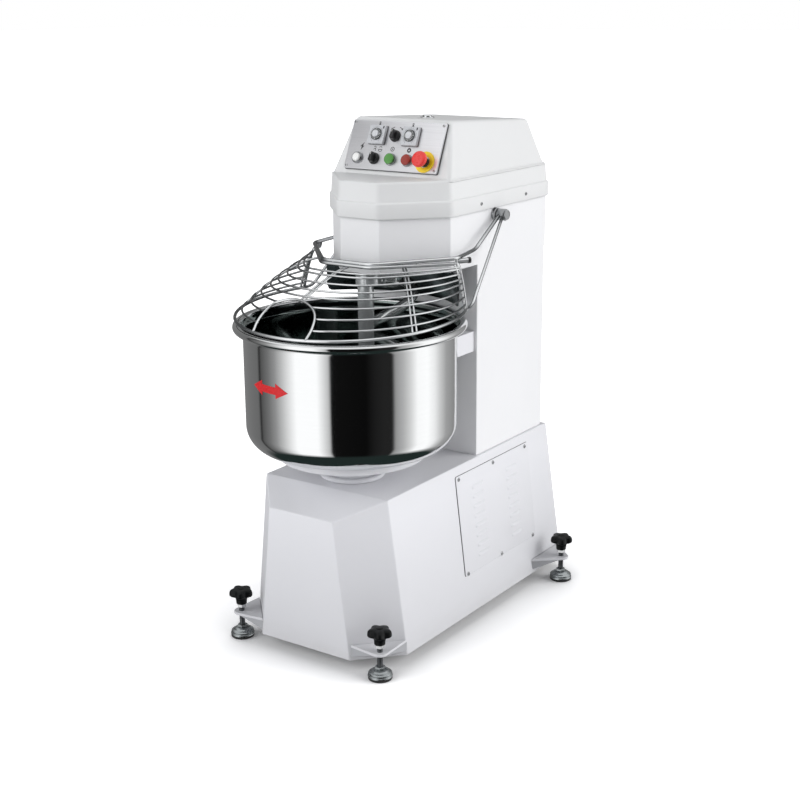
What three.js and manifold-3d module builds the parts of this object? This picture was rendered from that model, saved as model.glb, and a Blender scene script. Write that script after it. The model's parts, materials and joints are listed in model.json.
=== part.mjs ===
// Floor-standing spiral dough mixer with a fixed frame, a driven bowl, a driven
// spiral hook, a breaker bar, a wire guard on pivot pins, an operator panel and
// four levelling feet.  Millimetres, +Z up, front of the machine towards -Y,
// right-hand side towards +X.
//
// Inside the group "mixer" the bowl axis is X = 0, Y = 0 and the floor is Z = 0.
// The outer group puts the origin at the centre of the footprint on the floor.
import * as THREE from 'three';
import { ConvexGeometry } from 'three/addons/geometries/ConvexGeometry.js';
import { mergeVertices } from 'three/addons/utils/BufferGeometryUtils.js';
import Module from 'manifold-3d';

const wasm = await Module();
wasm.setup();

// ---------------------------------------------------------- shared dimensions
const GAP = 0.4;                  // clearance between neighbouring pieces
const OVERLAP = 0.5;              // how far joined solids run into each other
const SHEET = 3.2;                // folded steel sheet of base and column
const FOOTPRINT_CENTRE_Y = 192.4; // from the bowl axis back to the footprint centre

const BASE_TOP = 419.4;
const BASE_BOTTOM = 30.4;

const COLUMN_HALF = 178.5;
const COLUMN_FRONT_Y = 297.1;
const COLUMN_REAR_Y = 636.0;
const HEAD_BOTTOM = 920.0;
const HEAD_SHELL_TOP = 1060.0;

const BOWL_WALL_R = 260.5;

// vertical axes, [x, y]
const BOWL_AXIS = [0, 0];
const BOWL_MOTOR_AXIS = [0, 268];
const SPIRAL_AXIS = [0, 167];
const SPIRAL_MOTOR_AXIS = [0, 480];
const BREAKER_AXIS = [0, 66];
const LIFTING_BOLT_AXIS = [0, 341];

// guard pivot, an axis along X
const PIVOT_Y = 376.5;
const PIVOT_Z = 1038.0;
const PIVOT = [PIVOT_Y, PIVOT_Z];

// ---------------------------------------------------------- numbers and points
const SIDES = [['right', 1], ['left', -1]];
const vector = (point) => new THREE.Vector3(...point);
const radians = (degrees) => (degrees * Math.PI) / 180;
const times = (count, make) => Array.from({ length: count }, (_, i) => make(i));

// ranges [low, high]
const about = (centre, half) => [centre - half, centre + half];
const inset = ([low, high], by) => [low + by, high - by];
const onSide = (side, [low, high]) => (side > 0 ? [low, high] : [-high, -low]);
const middle = ([low, high]) => (low + high) / 2;

const mirrored = ([x, y, z]) => [-x, y, z];
const level = (outline, z) => outline.map(([x, y]) => [x, y, z]);
const polar = (radius, degrees, [x, y] = [0, 0]) => [
  x + radius * Math.cos(radians(degrees)),
  y + radius * Math.sin(radians(degrees)),
];
const ringOf = (radius, count, [x, y] = [0, 0]) => times(count, (i) => {
  const angle = (2 * Math.PI * i) / count;
  return [x + radius * Math.cos(angle), y + radius * Math.sin(angle)];
});

// -------------------------------------------------------------------- solids
const WELD_DISTANCE = 1e-4;

const fromTriangles = (vertProperties, triangles) => new wasm.Manifold(
  new wasm.Mesh({ numProp: 3, vertProperties, triVerts: new Uint32Array(triangles) }),
);

function toSolid(geometry) {
  for (const name of Object.keys(geometry.attributes)) {
    if (name !== 'position') geometry.deleteAttribute(name);
  }
  const welded = mergeVertices(geometry, WELD_DISTANCE);
  const index = welded.index.array;
  const triangles = [];
  for (let i = 0; i < index.length; i += 3) {
    const [a, b, c] = index.slice(i, i + 3);
    if (a !== b && b !== c && c !== a) triangles.push(a, b, c);
  }
  const positions = new Float32Array(welded.attributes.position.array);
  const solid = fromTriangles(positions, triangles);
  if (solid.volume() >= 0) return solid;
  // inside out: turn every triangle over
  for (let i = 0; i < triangles.length; i += 3) {
    [triangles[i + 1], triangles[i + 2]] = [triangles[i + 2], triangles[i + 1]];
  }
  return fromTriangles(positions, triangles);
}

function toGeometry(solid) {
  const { vertProperties, triVerts } = solid.getMesh();
  const geometry = new THREE.BufferGeometry();
  const positions = new Float32Array(vertProperties);
  geometry.setAttribute('position', new THREE.BufferAttribute(positions, 3));
  geometry.setIndex(new THREE.BufferAttribute(new Uint32Array(triVerts), 1));
  geometry.computeVertexNormals();
  return geometry;
}

const add = (...solids) => solids.reduce((a, b) => a.add(b));
const cut = (first, ...tools) => tools.reduce((a, b) => a.subtract(b), first);

function box(xRange, yRange, zRange) {
  const ranges = [xRange, yRange, zRange];
  const geometry = new THREE.BoxGeometry(...ranges.map(([low, high]) => high - low));
  geometry.translate(...ranges.map(middle));
  return toSolid(geometry);
}

// upright cylinder or cone frustum
function cylinder(radius, [z0, z1], segments, [x, y] = [0, 0], topRadius = radius) {
  const geometry = new THREE.CylinderGeometry(topRadius, radius, z1 - z0, segments);
  geometry.rotateX(Math.PI / 2);
  geometry.translate(x, y, (z0 + z1) / 2);
  return toSolid(geometry);
}

// cylinder along X
function cylinderX(radius, [x0, x1], [y, z], segments) {
  const geometry = new THREE.CylinderGeometry(radius, radius, x1 - x0, segments);
  geometry.rotateZ(Math.PI / 2);
  geometry.translate((x0 + x1) / 2, y, z);
  return toSolid(geometry);
}

// turned solid about an upright axis; the profile is a list of [radius, z]
function lathe(profile, segments, [x, y] = [0, 0]) {
  const points = profile.map(([radius, z]) => new THREE.Vector2(radius, z));
  const geometry = new THREE.LatheGeometry(points, segments);
  geometry.rotateX(Math.PI / 2);
  geometry.translate(x, y, 0);
  return toSolid(geometry);
}

const shapeOf = (outline) => new THREE.Shape(outline.map(([x, y]) => new THREE.Vector2(x, y)));

function prism(outline, [z0, z1]) {
  const options = { depth: z1 - z0, bevelEnabled: false };
  const geometry = new THREE.ExtrudeGeometry(shapeOf(outline), options);
  geometry.translate(0, 0, z0);
  return toSolid(geometry);
}

const hull = (points) => toSolid(new ConvexGeometry(points.map(vector)));

// convex solid between two level outlines
const loft = (lower, upper, [z0, z1]) => hull([...level(lower, z0), ...level(upper, z1)]);

// round bar swept along a smooth curve through the points
function sweep(points, radius, steps, segments) {
  const extrudePath = new THREE.CatmullRomCurve3(points.map(vector), false, 'centripetal');
  const options = { steps, extrudePath, bevelEnabled: false, curveSegments: 1 };
  return toSolid(new THREE.ExtrudeGeometry(shapeOf(ringOf(radius, segments)), options));
}

// straight round rod between two points
function rod(start, end, radius, segments) {
  const a = vector(start);
  const b = vector(end);
  const geometry = new THREE.CylinderGeometry(radius, radius, a.distanceTo(b), segments);
  const along = b.clone().sub(a).normalize();
  const turn = new THREE.Quaternion().setFromUnitVectors(new THREE.Vector3(0, 1, 0), along);
  geometry.applyQuaternion(turn);
  geometry.translate((a.x + b.x) / 2, (a.y + b.y) / 2, (a.z + b.z) / 2);
  return toSolid(geometry);
}

// straight rods joined by slightly larger balls
function bar(points, radius, segments) {
  const solids = [];
  for (let i = 0; i + 1 < points.length; i++) {
    solids.push(rod(points[i], points[i + 1], radius, segments));
    if (i > 0) {
      const ball = new THREE.SphereGeometry(radius * 1.02, segments, 4);
      ball.translate(...points[i]);
      solids.push(toSolid(ball));
    }
  }
  return add(...solids);
}

// ----------------------------------------------------------------- materials
const material = (color, { roughness, metalness = 0 }) =>
  new THREE.MeshStandardMaterial({ color, roughness, metalness });
const WHITE_PAINT = material(0xe9eaec, { roughness: 0.42 });
const COVER_WHITE = material(0xececee, { roughness: 0.38 });
const MIRROR_STEEL = material(0xd6dadc, { roughness: 0.08, metalness: 1 });
const BRUSHED_STEEL = material(0xc9cacd, { roughness: 0.34, metalness: 1 });
const CHROME = material(0xdde0e2, { roughness: 0.1, metalness: 1 });
const ZINC = material(0xa7adb0, { roughness: 0.35, metalness: 1 });
const DARK_STEEL = material(0x3d4144, { roughness: 0.45, metalness: 0.9 });
const CAST_IRON = material(0x54585c, { roughness: 0.6, metalness: 0.6 });
const MOTOR_PAINT = material(0x4f6473, { roughness: 0.5, metalness: 0.1 });
const BLACK_PLASTIC = material(0x17191a, { roughness: 0.4 });
const GREY_PLASTIC = material(0xb9bdc2, { roughness: 0.45 });
const WHITE_LENS = material(0xf4f5f2, { roughness: 0.2 });
const GREEN = material(0x3f9a35, { roughness: 0.3 });
const DARK_RED = material(0xa3231c, { roughness: 0.3 });
const RED = material(0xe2322d, { roughness: 0.35 });
const YELLOW = material(0xf2c90f, { roughness: 0.45 });
const RUBBER = material(0x1b1c1d, { roughness: 0.85 });
const NYLON = material(0xe6e4da, { roughness: 0.5 });

const machine = new THREE.Group();
const mixer = new THREE.Group();
mixer.position.set(0, -FOOTPRINT_CENTRE_Y, 0);
machine.add(mixer);

function piece(name, solid, finish, parent = mixer) {
  const mesh = new THREE.Mesh(toGeometry(solid), finish);
  mesh.name = name;
  parent.add(mesh);
}

// --------------------------------------------------------------- base casing
const BASE_TOP_HALF = 186.0;
const BASE_BOTTOM_HALF = 234.3;
const BASE_REAR_TOP_Y = 655.1;
const BASE_REAR_BOTTOM_Y = 668.8;
const HOOD_POINT = [95.7, -212.9, 376.3];         // lower front corner of the sloping facet
const SHOULDER_POINT = [186.0, -112.9, BASE_TOP]; // where top, side, chamfer and facet meet
const CHAMFER_BOTTOM = [BASE_BOTTOM_HALF, -104.5, BASE_BOTTOM];
const FRONT_BOTTOM_Y = -208.65;
const BASE_CAVITY_BOTTOM = 18;                    // below the casing, which is open there
const BASE_INSIDE = [0, 200, 200];                // any point inside the casing

// plane through three points, its normal pointing out of the base
function basePlane(p, q, r) {
  const origin = vector(p);
  const normal = vector(q).sub(origin).cross(vector(r).sub(origin)).normalize();
  if (normal.dot(vector(BASE_INSIDE).sub(origin)) > 0) normal.negate();
  return { normal, distance: normal.dot(origin) };
}
const levelPlane = (z) => basePlane([0, 0, z], [1, 0, z], [0, 1, z]);

function corner(a, b, c) {
  const rows = [a, b, c].flatMap(({ normal }) => normal.toArray());
  const solve = new THREE.Matrix3().set(...rows).invert();
  return new THREE.Vector3(a.distance, b.distance, c.distance).applyMatrix3(solve).toArray();
}

const baseChamfer = basePlane(HOOD_POINT, SHOULDER_POINT, CHAMFER_BOTTOM);
const basePlanes = [
  levelPlane(BASE_TOP),
  basePlane(SHOULDER_POINT, [BASE_TOP_HALF, 600, BASE_TOP], CHAMFER_BOTTOM),
  baseChamfer,
  basePlane(HOOD_POINT, SHOULDER_POINT, mirrored(HOOD_POINT)),
  basePlane(HOOD_POINT, mirrored(HOOD_POINT), [0, FRONT_BOTTOM_Y, BASE_BOTTOM]),
  basePlane(
    [0, BASE_REAR_TOP_Y, BASE_TOP],
    [1, BASE_REAR_TOP_Y, BASE_TOP],
    [0, BASE_REAR_BOTTOM_Y, BASE_BOTTOM],
  ),
];

// corners of the casing with every wall plane moved inwards by "depth"
function basePoints(depth, bottomZ) {
  const [top, side, chamfer, hood, front, rear] = basePlanes.map(
    ({ normal, distance }) => ({ normal, distance: distance - depth }),
  );
  const bottom = levelPlane(bottomZ);
  const right = [
    corner(top, hood, chamfer),
    corner(top, side, chamfer),
    corner(front, hood, chamfer),
    corner(front, chamfer, bottom),
    corner(side, chamfer, bottom),
    corner(side, rear, bottom),
    corner(side, rear, top),
  ];
  return [...right, ...right.map(mirrored)];
}
const SIDE_SLOPE = (BASE_BOTTOM_HALF - BASE_TOP_HALF) / (BASE_TOP - BASE_BOTTOM);
const baseSideX = (z) => BASE_TOP_HALF + (BASE_TOP - z) * SIDE_SLOPE;

const ACCESS_Y = [178, 540];
const ACCESS_Z = [132, 394];
const ACCESS_LAP = 22;            // the access panel laps over its opening
const BASE_TOP_CUT_Z = [400, 430];
piece('base_casing', cut(
  hull(basePoints(0, BASE_BOTTOM)),
  hull(basePoints(SHEET, BASE_CAVITY_BOTTOM)),
  cylinder(68, BASE_TOP_CUT_Z, 24),                         // passage for the bowl bearing
  box(about(0, 150), [320, 610], BASE_TOP_CUT_Z),           // passage up into the column
  box([170, 260], inset(ACCESS_Y, ACCESS_LAP), inset(ACCESS_Z, ACCESS_LAP)),
), WHITE_PAINT);

// lower frame: two rails, cross members and a bridge that carries the bowl bearing
const RAIL_X = [150, 196];
const RAIL_Z = [36, 76];
const UPRIGHT_X = [162, 182];
const BRIDGE_Y = about(0, 60);
const BRIDGE_Z = [300, 312];
const CROSS_MEMBERS_Y = [[-70, -20], [440, 490], [590, 640]];
piece('base_frame', add(
  ...[-1, 1].map((side) => box(onSide(side, RAIL_X), [-70, 640], RAIL_Z)),
  ...CROSS_MEMBERS_Y.map((yRange) => box(about(0, RAIL_X[0] + OVERLAP), yRange, RAIL_Z)),
  ...[-1, 1].map((side) => box(
    onSide(side, UPRIGHT_X), BRIDGE_Y, [RAIL_Z[1] - OVERLAP, BRIDGE_Z[0]],
  )),
  cut(
    box(about(0, UPRIGHT_X[1]), BRIDGE_Y, [BRIDGE_Z[0] - OVERLAP, BRIDGE_Z[1]]),
    cylinder(50.5, [290, 320], 24),
  ),
), DARK_STEEL);

// service panel on the right-hand side with two columns of ventilation slots
{
  const ROWS = 8;
  const ROW_PITCH = 26;
  const TOP_ROW = 87;
  const COLUMN_OFFSET = 85.5;
  const centreZ = middle(ACCESS_Z);
  const halfHeight = (ACCESS_Z[1] - ACCESS_Z[0]) / 2 * Math.hypot(1, SIDE_SLOPE);
  const halfLength = (ACCESS_Y[1] - ACCESS_Y[0]) / 2;
  const slots = times(ROWS, (row) => [-COLUMN_OFFSET, COLUMN_OFFSET].map((y) =>
    box(about(TOP_ROW - row * ROW_PITCH, 2.2), about(y, 27.5), [-1, 4]))).flat();
  const plate = box(about(0, halfHeight), about(0, halfLength), [GAP, 2.2]);

  // local X runs up the side, local Y to the front, local Z out of the side
  const up = new THREE.Vector3(-SIDE_SLOPE, 0, 1).normalize();
  const front = new THREE.Vector3(0, -1, 0);
  const out = new THREE.Vector3(1, 0, SIDE_SLOPE).normalize();
  const holder = new THREE.Group();
  holder.position.set(baseSideX(centreZ), middle(ACCESS_Y), centreZ);
  holder.quaternion.setFromRotationMatrix(new THREE.Matrix4().makeBasis(up, front, out));
  mixer.add(holder);
  piece('base_access_panel', cut(plate, ...slots), WHITE_PAINT, holder);
}

// ------------------------------------------------------------ column and head
const HEAD_REAR_Y = 643.8;
const HEAD_FRONT_Y = 44.6;
const HEAD_FRONT_HALF = 57.7;
const HEAD_CHAMFER_Y = 173.3;     // rear end of the front corner chamfers

// plan outline of the head, moved outwards by "offset"
function headOutline(offset, rearY = HEAD_REAR_Y + offset) {
  const dx = COLUMN_HALF - HEAD_FRONT_HALF;
  const dy = HEAD_CHAMFER_Y - HEAD_FRONT_Y;
  const length = Math.hypot(dx, dy);
  const normalX = dy / length;
  const normalY = -dx / length;
  const distance = normalX * HEAD_FRONT_HALF + normalY * HEAD_FRONT_Y + offset;
  const frontY = HEAD_FRONT_Y - offset;
  const frontX = (distance - normalY * frontY) / normalX;
  const sideX = COLUMN_HALF + offset;
  const chamferY = (distance - normalX * sideX) / normalY;
  return [
    [-frontX, frontY], [frontX, frontY], [sideX, chamferY],
    [sideX, rearY], [-sideX, rearY], [-sideX, chamferY],
  ];
}

const columnX = about(0, COLUMN_HALF);
const columnInnerX = inset(columnX, SHEET);
const columnInnerFrontY = COLUMN_FRONT_Y + SHEET;
piece('column_casing', cut(
  add(
    box(columnX, [COLUMN_FRONT_Y, COLUMN_REAR_Y], [BASE_TOP + GAP, HEAD_BOTTOM + 1]),
    prism(headOutline(0), [HEAD_BOTTOM, HEAD_SHELL_TOP]),
  ),
  // column interior, open at the rear below the head
  box(columnInnerX, [columnInnerFrontY, 700], [400, HEAD_BOTTOM - 0.2]),
  box(columnInnerX, [columnInnerFrontY, COLUMN_REAR_Y - 0.2], about(HEAD_BOTTOM, 1)),
  // head interior, and the opening in its underside in front of the column
  prism(headOutline(-SHEET), [HEAD_BOTTOM + 0.5, HEAD_SHELL_TOP + 10]),
  prism(headOutline(-SHEET - 5, COLUMN_FRONT_Y - 6), [HEAD_BOTTOM - 5, HEAD_BOTTOM + 3]),
  cylinderX(8.6, [-200, 200], PIVOT, 12),
), WHITE_PAINT);

// plate that closes the underside of the head, with the spiral and breaker holes
piece('head_bottom_plate', cut(
  prism(headOutline(-SHEET - GAP, COLUMN_FRONT_Y - 1), [HEAD_BOTTOM + 0.9, HEAD_BOTTOM + 6]),
  cylinder(27, about(HEAD_BOTTOM, 20), 24, SPIRAL_AXIS),
  cylinder(12.8, about(HEAD_BOTTOM, 20), 16, BREAKER_AXIS),
), DARK_STEEL);

// rear panel of the column with slotted vents
{
  const ROWS = 7;
  const ROW_PITCH = 18;
  const SLOT_Z = [760, 765];      // lowest row
  const slots = times(ROWS, (row) => [-62, 62].map((x) =>
    box(about(x, 45), [630, 650], SLOT_Z.map((z) => z + row * ROW_PITCH)))).flat();
  const plate = box(
    inset(columnX, 1.5),
    [COLUMN_REAR_Y + GAP, COLUMN_REAR_Y + 3],
    [BASE_TOP + 4, HEAD_BOTTOM - 1],
  );
  piece('rear_cover', cut(plate, ...slots), WHITE_PAINT);
}

// ----------------------------------------------------------------- head cover
const SKIRT_Z = [1055.5, 1094.5];
const SKIRT_PROUD = 8.0;
const BAND_TOP = 1143.0;
const BAND_FOOT_PROUD = 3.5;
const HOOD_FRONT_Y = 172.0;
const HOOD_REAR_Y = 633.0;
const HOOD_TOP_FRONT = [142.2, 231.0, 1278.6];
const HOOD_TOP_REAR = [147.9, 593.7, 1258.2];
const COVER_WALL = 4.0;

// operator panel frame, on the sloping front of the cover
const PANEL_ORIGIN = [0, 201.9, 1211.3];
const PANEL_TILT = Math.acos(0.3965);   // raised from face-up towards facing the front

// moulded cover over the head drive: skirt, band and sloping hood
{
  const pair = ([x, y, z]) => [[-x, y, z], [x, y, z]];
  const hood = (depth, lowZ) => {
    const sideX = COLUMN_HALF - depth;
    const topPoint = ([x, y, z], inwardY) => [x - depth, y + inwardY * depth * 0.8, z - depth];
    return hull([
      ...pair([sideX, HOOD_FRONT_Y + depth, lowZ]),
      ...pair([sideX, HOOD_REAR_Y - depth, lowZ]).reverse(),
      ...pair(topPoint(HOOD_TOP_FRONT, 1)),
      ...pair(topPoint(HOOD_TOP_REAR, -1)).reverse(),
    ]);
  };
  const band = (lowOffset, highOffset, zRange) =>
    loft(headOutline(lowOffset), headOutline(highOffset), zRange);
  const panelWindow = box(about(0, 128), about(0, 54), [-40, 20])
    .rotate([PANEL_TILT * 180 / Math.PI, 0, 0])
    .translate(PANEL_ORIGIN);
  piece('head_cover', cut(
    add(
      band(SKIRT_PROUD, SKIRT_PROUD, SKIRT_Z),
      band(BAND_FOOT_PROUD, 0, [SKIRT_Z[1] - OVERLAP, BAND_TOP]),
      hood(0, BAND_TOP - OVERLAP),
    ),
    band(GAP, GAP, [SKIRT_Z[0] - 5, HEAD_SHELL_TOP + GAP]),
    band(-COVER_WALL, -COVER_WALL, [HEAD_SHELL_TOP, BAND_TOP - COVER_WALL]),
    hood(COVER_WALL, BAND_TOP - COVER_WALL - 1),
    panelWindow,
    cylinder(8.4, [1240, 1290], 16, LIFTING_BOLT_AXIS),
  ), COVER_WHITE);
}

// plated lifting bolt on top of the cover; [radius, z]
const LIFTING_BOLT_PROFILE = [
  [0, 1230], [8, 1230], [8, 1273.8], [18, 1273.8], [18, 1277],
  [11, 1279.5], [11, 1284], [9, 1286], [0, 1286],
];
piece('lifting_bolt', lathe(LIFTING_BOLT_PROFILE, 16, LIFTING_BOLT_AXIS), CHROME);

// ------------------------------------------------------------- operator panel
// Local X to the right, Y up the slope, Z out of the panel.
const PANEL_HALF_W = 138.3;
const PANEL_HALF_H = 63.25;
const PANEL_RIM = 9;
const PANEL_SKIN = 2.5;
const FACE = 8.0;                 // front surface of the plate
const DEVICE_HOLE_R = 11.6;
const ROW_TOP = 24.5;
const ROW_LOW = -35.5;
const TIMERS = { left: [-54.5, ROW_TOP], right: [44.8, ROW_TOP] };
const SPEED_SELECTOR = [-3, ROW_TOP];
const POWER_LAMP = [-102, ROW_LOW];
const MODE_SELECTOR = [-51.2, ROW_LOW];
const START = [-1.2, ROW_LOW];
const STOP = [48.4, ROW_LOW];
const ESTOP = [101, -37.5];

const panelGroup = new THREE.Group();
panelGroup.position.set(...PANEL_ORIGIN);
panelGroup.rotation.x = PANEL_TILT;
mixer.add(panelGroup);
const panelPiece = (name, solid, finish) => piece(name, solid, finish, panelGroup);
const square = ([x, y], half, zRange) => box(about(x, half), about(y, half), zRange);

panelPiece('control_panel', cut(
  box(about(0, PANEL_HALF_W), about(0, PANEL_HALF_H), [GAP, FACE]),
  box(
    about(0, PANEL_HALF_W - PANEL_RIM),
    about(0, PANEL_HALF_H - PANEL_RIM),
    [-1, FACE - PANEL_SKIN],
  ),
  ...Object.values(TIMERS).map((place) => square(place, 22.8, [-1, FACE + 1])),
  ...[SPEED_SELECTOR, POWER_LAMP, MODE_SELECTOR, START, STOP, ESTOP].map(
    (place) => cylinder(DEVICE_HOLE_R, [-1, FACE + 1], 16, place),
  ),
), BRUSHED_STEEL);

for (const [side, place] of Object.entries(TIMERS)) {
  panelPiece(`timer_${side}_body`, cut(
    add(square(place, 24, [FACE + GAP, FACE + 10]), square(place, 22.4, [-34, FACE + 1])),
    cylinder(3.4, [-4, FACE + 12], 12, place),
  ), GREY_PLASTIC);
  panelPiece(`timer_${side}_dial`, add(
    cylinder(13.5, [FACE + 10.5, FACE + 17], 20, place, 12.6),
    cylinder(3, [FACE - 2, FACE + 11], 12, place),
  ), BLACK_PLASTIC);
}

function selector(name, place) {
  const [x, y] = place;
  panelPiece(name, add(
    cylinder(14.6, [FACE + GAP, FACE + 8], 20, place, 13.8),
    cylinder(9, [-26, FACE + 1], 16, place),
    box(about(x, 4.5), about(y, 13.5), [FACE + 7.5, FACE + 20]),
  ), BLACK_PLASTIC);
}
selector('speed_selector', SPEED_SELECTOR);
selector('mode_selector', MODE_SELECTOR);

panelPiece('power_lamp', add(
  cylinder(14.6, [FACE + GAP, FACE + 7], 20, POWER_LAMP, 13.6),
  cylinder(11, [FACE + 6.5, FACE + 11], 20, POWER_LAMP, 8),
  cylinder(9, [-26, FACE + 1], 16, POWER_LAMP),
), WHITE_LENS);

function pushButton(name, place, finish) {
  panelPiece(name, add(
    cylinder(11.4, [FACE + 5.5, FACE + 12.5], 20, place),
    cylinder(13.6, [FACE + 8, FACE + 11], 20, place),
    cylinder(8.5, [-24, FACE + 6], 16, place),
  ), finish);
}
pushButton('start_button', START, GREEN);
pushButton('stop_button', STOP, DARK_RED);

panelPiece('estop_plate', cut(
  cylinder(29, [FACE + GAP, FACE + 2.4], 28, ESTOP),
  cylinder(DEVICE_HOLE_R + GAP, [0, FACE + 5], 16, ESTOP),
), YELLOW);
panelPiece('estop_stem', add(
  cylinder(9, [-26, FACE + 18], 16, ESTOP),
  cylinder(4, [FACE + 17.5, FACE + 31], 12, ESTOP),
), BLACK_PLASTIC);
// [radius, height above the panel face]
const ESTOP_PROFILE = [
  [0, 20], [14, 20], [18.5, 23], [20, 27], [20, 30], [18, 34], [11, 36.4], [0, 37],
];
panelPiece('estop_button', cut(
  lathe(ESTOP_PROFILE.map(([radius, height]) => [radius, FACE + height]), 24, ESTOP),
  cylinder(4.5, [FACE + 10, FACE + 31.5], 12, ESTOP),
), RED);

// electrical enclosure inside the upper column, open at the rear
piece('electrical_box', cut(
  box(about(0, 120), [560, 630], [520, 740]),
  box(about(0, 117), [563, 640], [523, 737]),
), GREY_PLASTIC);

// ----------------------------------------------------------------------- bowl
{
  const THICKNESS = 3.0;
  const KNUCKLE_R = 62.0;         // rounding between floor and wall
  const KNUCKLE_Z = 560.2;
  const FLOOR_CENTRE_Z = 494.9;
  const RIM_R = 285.0;
  const BEAD_R = 9.5;
  const BEAD_CENTRE = [RIM_R - BEAD_R, 805.5];
  const BEAD_DEGREES = [-62, -30, 0, 35, 80, 125, 165];
  const FLARE_Z = 777;
  const OUTER_FLARE = [[262.5, 785], [267.5, 792], [273.5, 796.2]]; // [radius, z] upwards
  const INNER_FLARE = [[264.6, 799], [259.6, 787]];                 // [radius, z] downwards
  const floorR = BOWL_WALL_R - KNUCKLE_R;
  const innerR = BOWL_WALL_R - THICKNESS;
  const knuckle = (radius) => times(4, (i) => {
    const angle = -Math.PI / 2 + ((i + 1) * Math.PI) / 10;
    return [floorR + radius * Math.cos(angle), KNUCKLE_Z + radius * Math.sin(angle)];
  });
  piece('bowl', lathe([
    [0, FLOOR_CENTRE_Z], [floorR, KNUCKLE_Z - KNUCKLE_R],
    ...knuckle(KNUCKLE_R),
    [BOWL_WALL_R, KNUCKLE_Z], [BOWL_WALL_R, FLARE_Z],
    ...OUTER_FLARE,
    ...BEAD_DEGREES.map((degrees) => polar(BEAD_R, degrees, BEAD_CENTRE)),
    ...INNER_FLARE,
    [innerR, FLARE_Z], [innerR, KNUCKLE_Z],
    ...knuckle(KNUCKLE_R - THICKNESS).reverse(),
    [floorR, KNUCKLE_Z - KNUCKLE_R + THICKNESS], [0, FLOOR_CENTRE_Z + THICKNESS],
  ], 32), MIRROR_STEEL);
}

// bowl support and bearing profiles, [radius, z]
const BOWL_SUPPORT_PROFILE = [
  [0, 424.2], [60, 424.2], [60, 466], [70, 474.5], [180, 474.5],
  [186, 479], [186, 494], [0, 494],
];
const BOWL_BEARING_PROFILE = [
  [27, 246], [46, 246], [46, 405], [64, 405], [64, 419.8], [80, 419.8], [80, 427],
  [77, 429.5], [67, 429.5], [67, 423.4], [27, 423.4], [27, 246],
];
piece('bowl_support_disc', lathe(BOWL_SUPPORT_PROFILE, 28), WHITE_PAINT);
piece('bowl_shaft', cylinder(25, [140, 423.8], 20), DARK_STEEL);
piece('bowl_bearing_housing', lathe(BOWL_BEARING_PROFILE, 18), WHITE_PAINT);

// --------------------------------------------------------------- belt drives
const BELT_THICKNESS = 4.0;
const BELT_CLEARANCE = { driven: 2.6, motor: 1.4 };   // belt inside to pulley radius
const DRIVES = {
  bowl: {
    beltZ: [172, 190],
    driven: { axis: BOWL_AXIS, radius: 150, bore: 25.5, hubRadius: 40, segments: 20 },
    motor: { axis: BOWL_MOTOR_AXIS, radius: 36, bore: 12.9, hubRadius: 18, segments: 12 },
  },
  spiral: {
    beltZ: [1098, 1128],
    driven: { axis: SPIRAL_AXIS, radius: 96, bore: 20.5, hubRadius: 34, segments: 16 },
    motor: { axis: SPIRAL_MOTOR_AXIS, radius: 40, bore: 17, hubRadius: 22, segments: 12 },
  },
};

// flanged pulley, hollowed from above between hub and rim
function pulley(name, { axis, radius, bore, hubRadius, segments }, [z0, z1]) {
  const flangeR = radius + 5;
  const rimInnerR = Math.max(hubRadius + 1, radius - 14);
  piece(name, lathe([
    [bore, z0 - 4], [flangeR, z0 - 4], [flangeR, z0 - 1], [radius, z0 - 1],
    [radius, z1 + 1], [flangeR, z1 + 1], [flangeR, z1 + 4], [rimInnerR, z1 + 4],
    [rimInnerR, z0 + 8], [hubRadius, z0 + 8], [hubRadius, z1 + 6], [bore, z1 + 6],
    [bore, z0 - 4],
  ], segments, axis), CAST_IRON);
}

function belt(name, driven, motor, beltZ) {
  const loop = (drivenOffset, motorOffset, zRange) => {
    const rings = [
      ringOf(driven.radius + drivenOffset, 24, driven.axis),
      ringOf(motor.radius + motorOffset, 16, motor.axis),
    ];
    return hull(rings.flatMap((ring) => zRange.flatMap((z) => level(ring, z))));
  };
  const outerOffset = BELT_CLEARANCE.driven + BELT_THICKNESS;
  piece(name, cut(
    loop(outerOffset, outerOffset, inset(beltZ, 0.5)),
    loop(BELT_CLEARANCE.driven, BELT_CLEARANCE.motor, inset(beltZ, -1)),
  ), RUBBER);
}

for (const [name, { beltZ, driven, motor }] of Object.entries(DRIVES)) {
  pulley(`${name}_pulley`, driven, beltZ);
  pulley(`${name}_motor_pulley`, motor, beltZ);
  belt(`${name}_drive_belt`, driven, motor, beltZ);
}

// motors: body, flange, shaft and a box on the right-hand side
piece('bowl_motor', add(
  cylinder(68, [212, 380], 24, BOWL_MOTOR_AXIS),
  cylinder(78, [206, 213], 24, BOWL_MOTOR_AXIS),
  cylinder(12, [160, 207], 16, BOWL_MOTOR_AXIS),
  box([60, 100], about(BOWL_MOTOR_AXIS[1], 30), [280, 350]),
), MOTOR_PAINT);
piece('spiral_motor', add(
  cylinder(84, [800, 1050], 24, SPIRAL_MOTOR_AXIS),
  cylinder(100, [1049, 1060], 24, SPIRAL_MOTOR_AXIS),
  cylinder(16, [1059, 1140], 16, SPIRAL_MOTOR_AXIS),
  box([70, 120], about(SPIRAL_MOTOR_AXIS[1], 35), [880, 970]),
), MOTOR_PAINT);

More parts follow.
